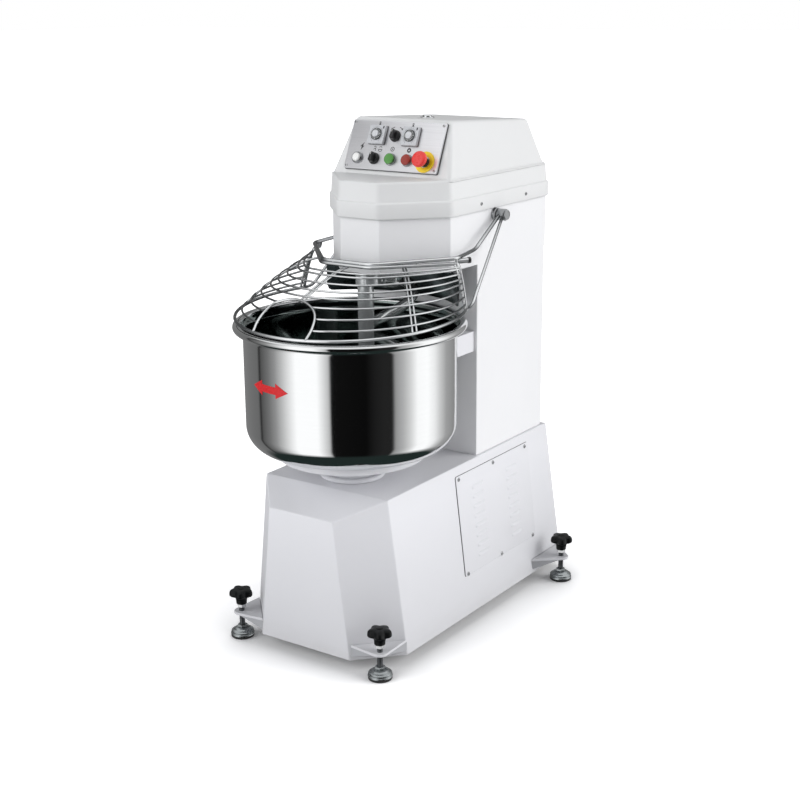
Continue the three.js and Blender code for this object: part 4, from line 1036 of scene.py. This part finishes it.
def bowl():
    """Spun bowl with a rolled bead round its rim."""
    bend_r, bend_z = BOWL_RADIUS - BOWL_CORNER, BOWL_FLOOR + BOWL_CORNER
    inner_radius = BOWL_RADIUS - BOWL_WALL

    def bend(radius):
        return [polar(radius, -pi / 2 + pi / 2 * i / 15, bend_r, bend_z) for i in range(1, 15)]

    bead = [polar(9.5, radians(a), 275.5, 805.5) for a in range(-120, 171, 10)]
    outer = [(0, 494.9), (120, 495.6), (185, 497.2), (bend_r, BOWL_FLOOR)]
    outer += bend(BOWL_CORNER)
    outer += [(BOWL_RADIUS, bend_z), (BOWL_RADIUS, 650.0), (BOWL_RADIUS, 784.0), (260.6, 788.5),
              (261.3, 792.0), (262.8, 795.2), (265.4, 798.0)] + bead
    inner = [bead[-1], (264.6, 802.5), (262.6, 798.4), (259.8, 795.2), (258.2, 791.0),
             (257.6, 786.0), (inner_radius, 782.0), (inner_radius, 650.0), (inner_radius, bend_z)]
    inner += bend(BOWL_CORNER - BOWL_WALL)[::-1]
    inner += [(bend_r, BOWL_FLOOR + BOWL_WALL), (185, 500.2), (120, 498.8), (0, 497.9)]
    mesh = Mesh()
    mesh.lathe(outer, 256)
    mesh.lathe(inner, 256, mat=1)
    build("bowl_spun", mesh, [BOWL_STEEL, BOWL_INSIDE], "bowl", "bowl_assembly")


def turn_arrow(radius=261.0, film=0.35, middle=690.0, tip=62.0, barb=24.0):
    """Red double arrow, a thin film on the bowl wall; tip and barb are lengths along it."""
    places = {-tip + 2 * tip * i / 80 for i in range(81)}
    places |= {-barb - 0.01, -barb + 0.01, barb - 0.01, barb + 0.01}
    rows = []
    for along in sorted(places):
        away = abs(along)
        half = max(0.05, 9.0 if away <= barb else 18.5 * (tip - away) / (tip - barb))
        angle = radians(-100.9) + along / radius
        back, face = polar(radius - film, angle), polar(radius, angle)
        low, high = middle - half, middle + half
        rows.append([(*back, low), (*face, low), (*face, high), (*back, high)])
    mesh = Mesh()
    mesh.skin(rows)
    build("bowl_turn_arrow", mesh, DECAL, body="bowl_assembly", angle=30)


def bowl_support():
    mesh = Mesh()
    mesh.lathe([(0, 424.2), (58.5, 424.2), (60, 425.4), (60, 460), (61.5, 465.5), (65, 470),
                (70, 472.6), (78, 474.2), (180, 475.0), (184, 476.4), (186, 480.0), (186, 490),
                (185, 493), (183, 494.0), (0, 494.0)], 128)
    build("bowl_support_plate", mesh, WHITE, "bowl_support_disc", "bowl_assembly",
          angle=40)
    mesh = Mesh()
    mesh.lathe([(27, 246), (46, 246), (46, 405), (64, 405), (64, 419.8), (79, 419.8), (80.5, 421),
                (80.5, 426), (79.2, 428.6), (77, 429.6), (69, 429.6), (67, 428.2), (66.6, 423.4),
                (27, 423.4)], 96, closed=True)
    build("bowl_bearing_collar", mesh, WHITE, "bowl_bearing_housing", angle=40)


# the bowl keeps the default sharp angle of 38; its bends are all softer than that limit
bowl()
turn_arrow()
bowl_support()
cad("bowl_shaft", DARK, 1.0)

# -------------------------------------------------------------------- drives
for node_name, mat in (
        ("bowl_pulley", CAST), ("bowl_motor_pulley", CAST), ("spiral_pulley", CAST),
        ("spiral_motor_pulley", CAST), ("spiral_bearing_housing", CAST),
        ("bowl_drive_belt", BELT), ("spiral_drive_belt", BELT),
        ("bowl_motor", MOTOR), ("spiral_motor", MOTOR)):
    cad(node_name, mat, 0.5, angle=40)

# -------------------------------------------------------------------- dough tools
SPIRAL_AT = (0, 167.0)


def spiral_hook():
    def station(radius, degrees, z):
        return (*polar(radius, radians(degrees), *SPIRAL_AT), z)

    path = [station(12, 62, 884), station(38, 58, 880), station(58, 44, 868)]
    path += [station(62.0, a, 835 + (a + 14) * 207.9 / 360.0) for a in range(20, -541, -20)]
    path += [station(50, -568, 524.5), station(24, -590, 521)]
    mesh = Mesh()
    mesh.tube(catmull(path, 7), 14.0, 22, round_ends=True)
    mesh.lathe([(0, 871), (30, 871), (34, 872.5), (36, 876), (36, 896), (35, 899), (32, 900.2),
                (0, 900.2)], 48, SPIRAL_AT)
    build("spiral_hook_bar", mesh, HOOK_STEEL, "spiral_hook", "spiral_assembly",
          angle=60)


def spiral_shaft():
    mesh = Mesh()
    mesh.lathe([(0, 900.6), (31, 900.6), (32, 901.6), (32, 909.8), (31, 911), (20, 911),
                (20, 1134), (19, 1136), (0, 1136)], 48, SPIRAL_AT)
    for at in circle(25.5, 6, *SPIRAL_AT):      # cap screws in the flange
        mesh.lathe([(0, 905.0), (4.0, 905.0), (4.0, 914.5), (3.4, 915.0), (0, 915.0)], 12, at)
    build("spiral_shaft_turned", mesh, HUB_STEEL, "spiral_shaft",
          "spiral_assembly", angle=40)


def breaker_bar():
    mesh = Mesh()
    mesh.lathe([(0, 508), (12, 508), (16, 509.2), (18.8, 512), (20, 516), (20, 600), (20, 884),
                (20, 919.4), (12, 919.6), (12, 1000), (0, 1000)], 56, (0, 66))
    mesh.lathe([(0, 889), (30.5, 889), (32, 890.5), (32, 918.6), (31, 919.6), (0, 919.6)], 56,
               (0, 79))
    build("breaker_bar_turned", mesh, BAR_STEEL, "breaker_bar", angle=40)


def rear_shield(start=40.6, end=139.4, bottom=836.0, top=912.0, corner=16.0):
    """Curved shield behind the bowl rim, with rounded lower corners and two tabs."""
    rows = []
    for i in range(97):
        a = start + (end - start) * i / 96
        from_end = radians(min(a - start, end - a)) * 265.0
        lift = 0.0
        if from_end < corner:
            lift = corner - sqrt(max(0.0, corner * corner - (corner - from_end) ** 2))
        inner, outer = polar(263.6, radians(a)), polar(266.4, radians(a))
        low = bottom + lift
        rows.append([(*inner, low), (*outer, low), (*outer, top), (*inner, top)])
    mesh = Mesh()
    mesh.skin(rows)
    for x in (-70, 50):
        mesh.slab(rect(x, x + 20, 255, 296.6, 1.0), 890, 908)
    build("rear_shield", mesh, SHIELD_STEEL, "rear_bowl_shield", angle=40)


def guide_rollers(x=143, radius=20, gap=0.8):
    """Nylon rollers just clear of the bowl wall."""
    y = sqrt((BOWL_RADIUS + radius + gap) ** 2 - x * x)
    for side_name, side in SIDES:
        mesh = Mesh(shifted(side * x, y))
        mesh.lathe([(6.6, 703), (18.4, 703), (19.4, 703.6), (radius, 705), (radius, 741),
                    (19.4, 742.4), (18.4, 743), (6.6, 743)], 40, closed=True)
        build(f"guide_roller_{side_name}", mesh, NYLON, f"bowl_roller_{side_name}",
              f"roller_{side_name}", angle=40)


spiral_hook()
spiral_shaft()
breaker_bar()
rear_shield()
cad("bowl_roller_bracket_right", WHITE, 0.8)
cad("bowl_roller_bracket_left", WHITE, 0.8)
guide_rollers()

# -------------------------------------------------------------------- guard
FRAME_Z = 950.0                     # height of the guard's top frame
END = 28.3                          # direction of the guard's right end, degrees
LEFT_END = -180 - END
WIRE_RADIUS = 2.5
PIVOT_Y, PIVOT_Z = 376.5, 1038.0
# wires round the dome: way down from the top frame, and where a wire stops at the arch (degrees)
WIRES = ((0.189, None), (0.259, None), (0.385, None), (0.494, None), (0.583, None),
         (0.694, (-81.6, -105.5)), (0.814, (-74.7, -109.6)), (0.922, (-73.7, -108.5)))
# arch at the front: direction in degrees and way down
ARCH = [(-106.9, 0.995), (-108.8, 0.922), (-109.7, 0.834), (-108.9, 0.735), (-104.8, 0.685),
        (-99.8, 0.65), (-93.5, 0.638), (-87.8, 0.653), (-81.5, 0.695), (-77.0, 0.752),
        (-74.7, 0.814), (-73.8, 0.877), (-73.7, 0.937), (-74.6, 1.0)]
# ribs mirrored to both sides: direction at the top and bottom, radius, inward shift
RIBS = ((END - 0.3, END - 0.3, 4.0, 0.0), (END - 3.4, END - 2.6, 3.0, 1.5),
        (-19.2, -20.8, WIRE_RADIUS, 3.0), (-21.6, -23.2, WIRE_RADIUS, 3.0))


def station(degrees, down):
    """Point of the dome: degrees round the bowl, down from 0 at the frame to 1 at the ring."""
    left = degrees < -90
    d = -180 - degrees if left else degrees
    if d < -50:
        top = (74 * (d + 90) / 40, -14.0)
    else:
        top = (74 + 142 * (d + 50) / (END + 50), -14 + 160 * (d + 50) / (END + 50))
    ring_x, ring_y = polar(279.9, radians(d), 0.0, 3.5)
    ring_z = 837.8 + 0.0525 * ring_y
    x, y = top[0] + (ring_x - top[0]) * down, top[1] + (ring_y - top[1]) * down
    skirt = (831.0 + 4.0 * max(0.0, min(1.0, (ring_y + 280) / 230))
             + 0.0003 * max(0.0, ring_y + 50) ** 2)
    z = FRAME_Z + (skirt - FRAME_Z) * down ** 1.6 + (ring_z - skirt) * down ** 12
    return Vector((-x if left else x, y, z))


def soft_station(degrees, down):
    """Station averaged over a few degrees, to round the corners of the top frame."""
    total = Vector((0, 0, 0))
    for k in (-2, -1, 0, 1, 2):
        total += station(max(LEFT_END, min(END, degrees + k * 4.5)), down)
    return total / 5


def wire(start, end, down, steps=88):
    return [(soft_station if 3 < i < steps - 3 else station)
            (start + (end - start) * i / steps, down) for i in range(steps + 1)]


def rib(mesh, top, bottom, depth=1.0, radius=WIRE_RADIUS, shift=3.0):
    """A wire down the dome, set inwards so that it lies behind the wires round it."""
    points = []
    for i in range(25):
        down = depth * i / 24
        point = station(top + (bottom - top) * i / 24, down)
        out = Vector((point.x, point.y - 40.0, 0.0)).normalized()
        angle = down * pi / 2
        points.append(point - (out * sin(angle) + Vector((0, 0, 1)) * cos(angle)) * shift)
    mesh.tube(points, radius, round_ends=True)


def on_pivot(side):
    """Frame on a guard pivot, its third axis outwards from the middle of the machine."""
    return lambda x, y, z: (side * z, PIVOT_Y + x, PIVOT_Z + y)


def guard():
    mesh = Mesh()
    top_frame = [station(END, 0), (74, -14, FRAME_Z), (-74, -14, FRAME_Z), station(LEFT_END, 0)]
    mesh.tube(fillet_path(top_frame, [22, 22], 8), 4.3, 12)
    # the lower ring runs on past the end ribs, bends up and returns to the pivots as stays
    stay = fillet_path([(205, 368.5, 1029), (244, 167, 847.0), station(END, 1)], [17], 8)[:-1]
    ring = [station(END - (180 + 2 * END) * i / 96, 1) for i in range(97)]
    left_stay = [Vector((-p.x, p.y, p.z)) for p in stay[::-1]]
    mesh.tube(stay + ring + left_stay, 4.0, 12, round_ends=True)
    for down, gap in WIRES:
        if gap:
            mesh.tube(wire(END, gap[0], down, 44), WIRE_RADIUS, round_ends=True)
            mesh.tube(wire(gap[1], LEFT_END, down, 44), WIRE_RADIUS, round_ends=True)
        else:
            mesh.tube(wire(END, LEFT_END, down), WIRE_RADIUS, round_ends=True)
    arch = [station(*at) + Vector((0, -1.6, 2.2)) for at in ARCH]
    mesh.tube(catmull(arch, 5), 3.1, 12, round_ends=True)
    for top, bottom, radius, shift in RIBS:
        rib(mesh, top, bottom, radius=radius, shift=shift)
        rib(mesh, -180 - top, -180 - bottom, radius=radius, shift=shift)
    rib(mesh, -84.9, -90.6, depth=0.652)
    rib(mesh, -87.3, -93.2, depth=0.646)
    # arm bar: one bent rod from pivot to pivot, along the head and across the front
    half = [(199, 365, 1037), (205, 243.5, 969.6), (216, 141, 963.4), (72.5, -8.4, 956.5)]
    bar = half + [(-x, y, z) for x, y, z in half[::-1]]
    mesh.tube(fillet_path(bar, [16, 16, 20, 20, 16, 16], 7), 4.8, 12, round_ends=True)
    for _, side in SIDES:
        # hub sleeve on the pivot pin
        mesh.frame = on_pivot(side)
        mesh.lathe([(8.8, 190.3), (13.6, 190.3), (14.6, 191.2), (14.6, 211.8), (13.6, 212.8),
                    (8.8, 212.8)], 48, mat=1, closed=True)
        mesh.frame = shifted()
        # links between the top frame and the arm bar, then the capped tube end
        for start, end, radius, steps in (
                ((213.5, 144, FRAME_Z), (214.5, 143, 962.6), 3.8, 12),
                ((150, 71.5, FRAME_Z), (148.6, 71, 959.8), 3.2, 10),
                ((40, -14, FRAME_Z), (40, -8.4, 956.4), 3.2, 10),
                ((209.6, 153.5, 954.0), (227.1, 177.2, 955.0), 6.4, 20)):
            mesh.tube([(side * x, y, z) for x, y, z in (start, end)], radius, steps)
    build("guard_wirework", mesh, [WIRE, HUB], "guard_cage", "guard", angle=60)


def guard_cap(side_name, side):
    """Black cap on the tube end."""
    along = Vector((side * 15.4, 19.3, 0)).normalized()
    start = Vector((side * 227.1, 177.2, 955.0)) - along * 2.0
    mesh = Mesh()
    mesh.tube([start + along * d for d in (0.2, 1.0, 5.6, 7.0, 8.0)],
              lambda t: 7.6 if t < 0.6 else (6.9 if t < 0.9 else 4.6), 28)
    build(f"guard_cap_{side_name}", mesh, BLACK, f"guard_end_cap_{side_name}",
          "guard", angle=35)


def pivot_pin(side_name, side):
    mesh = Mesh(on_pivot(side))
    mesh.lathe([(0, 160), (7.4, 160), (8, 161), (8, 166), (12, 166), (12, 175), (8.2, 175),
                (8.2, 178.9), (15.4, 178.9), (16, 179.6), (16, 188.6), (15.4, 189.4),
                (8.2, 189.4), (8, 190), (8, 213.4), (12.0, 213.7), (12.6, 214.4), (12.6, 216.6),
                (12.0, 217.3), (9.4, 217.5), (8.8, 216.9), (0, 216.8)], 48)
    build(f"pivot_pin_{side_name}", mesh, PIN, f"guard_pivot_pin_{side_name}", angle=40)


guard()
for side_name, side in SIDES:
    guard_cap(side_name, side)
    pivot_pin(side_name, side)

# -------------------------------------------------------------------- feet
FEET = {"front_left": (-215.2, -193.2), "front_right": (215.2, -193.2),
        "rear_left": (-283.6, 579.2), "rear_right": (283.6, 579.2)}
FOOT_PLATE = (62.5, 69.5)           # bottom and top of the plate
FOOT_NOSE = 20                      # radius of the plate's nose
# sections of the star knob: radius between points, radius at points, height
STAR = ((15.0, 16.0, 106.0), (18.4, 23.4, 108.2), (21.2, 28.0, 110.2), (22.2, 30.2, 112.6),
        (22.5, 30.6, 116.2), (22.2, 30.2, 121.0), (21.4, 29.0, 124.4), (20.0, 26.6, 126.9),
        (16.4, 21.0, 128.5), (11.0, 12.6, 129.4))


def hull(points):
    """Counter-clockwise convex hull of plan points."""
    points = sorted({(round(x, 4), round(y, 4)) for x, y in points})

    def turn(o, a, b):
        return (a[0] - o[0]) * (b[1] - o[1]) - (a[1] - o[1]) * (b[0] - o[0])

    out = []
    for run in (points, points[::-1]):
        chain = []
        for p in run:
            while len(chain) >= 2 and turn(chain[-2], chain[-1], p) <= 0:
                chain.pop()
            chain.append(p)
        out += chain[:-1]
    return out


def wall_points(x, y, z):
    """The two places at height z where a foot plate meets the casing, 0.5 outside it."""
    side = 1 if x > 0 else -1
    if y > 0:
        return [(side * (side_x(z) + 0.5), y + reach) for reach in (-71, 71)]
    normal, distance = CHAMFER
    plan = hypot(normal.x, normal.y)
    return [(side * (px + normal.x / plan * 0.5),
             (distance - normal.z * z - normal.x * px) / normal.y + normal.y / plan * 0.5)
            for px in (137, 231.5)]


def foot_plate(name, x, y):
    """Plate with a round nose and a stud hole, and two folded flanges under its sides."""
    bottom, top = FOOT_PLATE
    roots, low_roots = wall_points(x, y, bottom), wall_points(x, y, 42)
    outline = hull(circle(FOOT_NOSE, 48, x, y) + roots)
    hole = [polar(7.9, atan2(q[1] - y, q[0] - x), x, y) for q in outline]
    edge = 1.0
    inset = offset(outline, -edge)
    mesh = Mesh()
    mesh.skin([raised(hole, bottom), raised(inset, bottom), raised(outline, bottom + edge),
               raised(outline, top - edge), raised(inset, top), raised(hole, top)], closed=True)
    centre = Vector((x, y))
    for i in (0, 1):
        root, low_root, other = Vector(roots[i]), Vector(low_roots[i]), Vector(roots[1 - i])
        away = root - centre
        spread = acos(max(-1, min(1, FOOT_NOSE / away.length)))
        heading = atan2(away.y, away.x)
        touches = [Vector(polar(FOOT_NOSE, a, x, y)) for a in (heading + spread, heading - spread)]
        touch = max(touches, key=lambda p: (p - other).length)
        along = root - touch
        inwards = Vector((-along.y, along.x)).normalized()
        if inwards.dot(centre - touch) < 0:
            inwards.negate()
        start = touch.lerp(root, 0.12)
        flange = [(start, bottom + 0.4), (root, bottom + 0.4),
                  (low_root * 0.5 + root * 0.5, bottom - 20.0),
                  (start.lerp(root, 0.93), bottom - 21.5)]
        # the flanges take the darker paint, painted shade under the plate
        mesh.skin([[(p.x + inwards.x * t, p.y + inwards.y * t, z) for p, z in flange]
                   for t in (0.0, 3.0)], mat=1)
    build(f"foot_plate_{name}", mesh, [WHITE, SHADED_FLANGE], f"foot_bracket_{name}",
          angle=34)


def star(inner, outer, z):
    """Five-pointed wavy ring."""
    points = []
    for i in range(100):
        angle = 2 * pi * i / 100
        wave = 0.5 + 0.5 * cos(5 * angle)
        points.append(polar(inner + (outer - inner) * (wave ** 0.8), angle + 0.25))
    return raised(points, z)


def foot_spindle(name, x, y):
    """Star knob, its hub, a hexagon and the threaded spindle."""
    mesh = Mesh(shifted(x, y))
    mesh.skin([star(*section) for section in STAR])
    mesh.lathe([(0, 88.6), (12.4, 88.6), (13.4, 89.6), (13.8, 97), (15.0, 103), (17.0, 107),
                (0, 108)], 48)
    mesh.lathe([(0, 129.0), (8.6, 129.0), (8.2, 130.4), (6.6, 131.0), (0, 131.0)], 40)
    mesh.skin([raised(circle(radius, 6, turn=0.2), z) for radius, z in
               ((11.0, 80.0), (12.4, 80.8), (12.4, 87.8), (11.2, 88.6))], mat=1)
    thread = [(0, 20.6), (6.0, 20.6)]
    for k in range(30):
        z = 21.4 + 2.0 * k
        thread += [(7.0, z), (7.0, z + 0.35), (6.25, z + 1.0), (6.25, z + 1.3)]
    thread += [(6.2, 80.4), (0, 80.4)]
    mesh.lathe(thread, 20, mat=2)
    build(f"foot_spindle_{name}", mesh, [KNOB, SCREW, STUD],
          f"foot_screw_{name}", f"foot_screw_{name}_body", angle=40)


def foot_pad(name, x, y):
    """Black rubber sole under a plated dome with a hexagonal socket."""
    mesh = Mesh(shifted(x, y))
    mesh.lathe([(0, 0), (27.6, 0), (28.8, 0.8), (29.4, 2.4), (29.4, 7.4)], 64, mat=1)
    mesh.lathe([(29.4, 7.4), (30.0, 7.6), (30.0, 9.6), (29.2, 11.0), (28.0, 11.6), (27.6, 12.8),
                (28.6, 13.8), (28.9, 15.2), (28.0, 16.8), (25.4, 18.6), (22.6, 19.6),
                (21.6, 20.2), (20.6, 22.0), (18.4, 23.6), (14.8, 24.4), (12.8, 24.8)], 64)
    nut = [raised(circle(radius, 6), z) for radius, z in
           ((13.2, 24.2), (13.4, 25.0), (13.4, 30.4), (12.2, 31.5))]
    socket = circle(7.8, 6)
    mesh.skin(nut, end=False)
    mesh.skin([nut[-1], raised(socket, 31.5), raised(socket, 24.6)], start=False)
    build(f"foot_disc_{name}", mesh, [ZINC, SOLE], f"foot_pad_{name}",
          f"foot_pad_{name}_body", angle=40)


for foot_name, foot_at in FEET.items():
    foot_plate(foot_name, *foot_at)
    foot_spindle(foot_name, *foot_at)
    foot_pad(foot_name, *foot_at)


# -------------------------------------------------------------------- floor
def floor_material():
    """Pale matt floor that the camera sees lifted with a camera-only glow, dimmed near the machine
    by ambient occlusion as a painted contact shadow.
    """
    m = Surface("floor_pale")
    c = m.mix(m.noise(1.2, detail=2, rough=0.5), (0.90, 0.90, 0.90), (0.885, 0.885, 0.887))
    m.finish(c, 0.9, Specular_IOR_Level=0.0)
    contact_shadow_ao = m.node("ShaderNodeAmbientOcclusion", {"Distance": 0.55}, samples=8).outputs["AO"]
    # painted shadow: less glow where the machine hems the floor in
    lift = m.remap(contact_shadow_ao, (0.50, 0.90), to=(0.07, 0.62))
    seen = m.node("ShaderNodeLightPath").outputs["Is Camera Ray"]
    glow = m.node("ShaderNodeEmission", {"Color": (1, 1, 1),
                                         "Strength": m.math("MULTIPLY", seen, lift)})
    both = m.node("ShaderNodeAddShader", {0: m.shader.outputs[0], 1: glow.outputs[0]})
    m.feed(m.tree.nodes["Material Output"].inputs["Surface"], both.outputs[0])
    return m.material


def make_floor(reach=60.0):
    data = bpy.data.meshes.new("floor")
    corners = [(-reach, -reach), (reach, -reach), (reach, reach), (-reach, reach)]
    data.from_pydata(raised(corners, 0), [], [(0, 1, 2, 3)])
    floor = bpy.data.objects.new("floor", data)
    SCENE.collection.objects.link(floor)
    floor.visible_glossy = False
    data.materials.append(floor_material())


make_floor()

# -------------------------------------------------------------------- world
# soft boxes and dark flags that mirrors see: degrees from the front to the right, brightness
STUDIO = [(-180, 0.30), (-150, 0.24), (-105, 0.20), (-81, 0.17), (-77.5, 0.015), (-74.5, 0.10),
          (-62, 0.20), (-52, 0.34), (-42, 0.62), (-31, 1.0), (-24, 1.25), (0, 1.25), (8, 0.85),
          (13.2, 0.60), (15.4, 0.006), (52, 0.004), (62, 0.014), (72, 0.02), (81, 0.018),
          (84.5, 0.36), (94, 0.54), (103, 0.82), (112, 1.2), (126, 1.25), (137, 1.05),
          (147, 0.72), (160, 0.42), (180, 0.30)]
# light on matt surfaces: share of the way up, colour
AMBIENT = [(0.0, (0.66, 0.665, 0.69)), (0.35, (0.50, 0.505, 0.525)), (1.0, (0.20, 0.203, 0.212))]


def color_ramp(graph, factor, stops):
    made = graph.node("ShaderNodeValToRGB", {0: factor})
    elements = made.color_ramp.elements
    made.color_ramp.interpolation = "LINEAR"
    while len(elements) > 1:
        elements.remove(elements[-1])
    for i, (position, color) in enumerate(stops):
        element = elements[0] if i == 0 else elements.new(position)
        element.position = position
        element.color = (*color, 1.0)
    return made.outputs[0]


def make_world():
    world = bpy.data.worlds.new("studio")
    SCENE.world = world
    world.use_nodes = True
    world.node_tree.nodes.clear()
    g = Graph(world.node_tree)
    direction = g.node("ShaderNodeTexCoord").outputs["Generated"]
    x, y, z = g.node("ShaderNodeSeparateXYZ", {0: direction}).outputs
    azimuth = g.math("ARCTAN2", x, g.math("MULTIPLY", y, -1.0))
    turn = g.math("ADD", g.math("DIVIDE", azimuth, 2 * pi), 0.5)    # 0.5 is the front
    bands = color_ramp(g, turn, [(0.5 + a / 360.0, (v, v, v)) for a, v in STUDIO])
    # masks: 0 below about -44 degrees, and 1 above about 46 degrees
    not_low = g.math("MULTIPLY", g.math("ADD", z, 0.70), 1 / 0.12, clamp=True)
    high = g.math("MULTIPLY", g.math("SUBTRACT", z, 0.50), 1 / 0.22, clamp=True)
    glossy = g.mix(high, bands, (0.95, 0.955, 0.96))
    glossy = g.mix(not_low, (0.018, 0.028, 0.026), glossy)
    ray = g.node("ShaderNodeLightPath").outputs
    color = g.mix(ray["Is Glossy Ray"], color_ramp(g, z, AMBIENT), glossy)
    color = g.mix(ray["Is Camera Ray"], color, (1.0, 1.0, 1.0))
    background = g.node("ShaderNodeBackground", {"Color": color, "Strength": 1.0})
    g.node("ShaderNodeOutputWorld", {"Surface": background.outputs[0]})


make_world()


# -------------------------------------------------------------------- lights and camera
def towards(azimuth, elevation):
    """Unit vector to a place, azimuth in degrees from the front round to the right."""
    a, e = radians(azimuth), radians(elevation)
    return Vector((sin(a) * cos(e), -cos(a) * cos(e), sin(e)))


def sun(name, azimuth, elevation, strength, angle, color=(1, 1, 1)):
    data = bpy.data.lights.new(name, "SUN")
    data.energy = strength
    data.angle = radians(angle)
    data.color = color
    light = bpy.data.objects.new(name, data)
    SCENE.collection.objects.link(light)
    light.rotation_mode = "QUATERNION"
    light.rotation_quaternion = towards(azimuth, elevation).to_track_quat("Z", "Y")
    light.visible_glossy = False


def make_camera(location, azimuth, elevation, roll, lens):
    """Camera at a place in metres, looking back along the given direction; angles in degrees."""
    data = bpy.data.cameras.new("camera")
    camera = bpy.data.objects.new("camera", data)
    SCENE.collection.objects.link(camera)
    data.sensor_width = 36.0
    data.lens = lens
    data.clip_start = 0.05
    data.clip_end = 200.0
    back = towards(azimuth, elevation)
    right = Vector((*polar(1.0, radians(azimuth)), 0))
    up = right.cross(-back)
    c, s = cos(radians(roll)), sin(radians(roll))
    matrix = Matrix((right * c + up * s, right * -s + up * c, back)).transposed().to_4x4()
    matrix.translation = Vector(location)
    camera.matrix_world = matrix
    SCENE.camera = camera


sun("key_right", azimuth=118, elevation=22, strength=2.15, angle=50)
sun("key_left", azimuth=-32, elevation=22, strength=1.9, angle=60, color=(0.99, 0.995, 1.0))

SCENE.view_settings.view_transform = "Standard"
SCENE.view_settings.look = "None"
SCENE.view_settings.exposure = 0.0
SCENE.view_settings.gamma = 1.0

make_camera((2.02088, -2.89493, 1.56429), azimuth=34.76, elevation=15.79, roll=-0.48, lens=63.995)
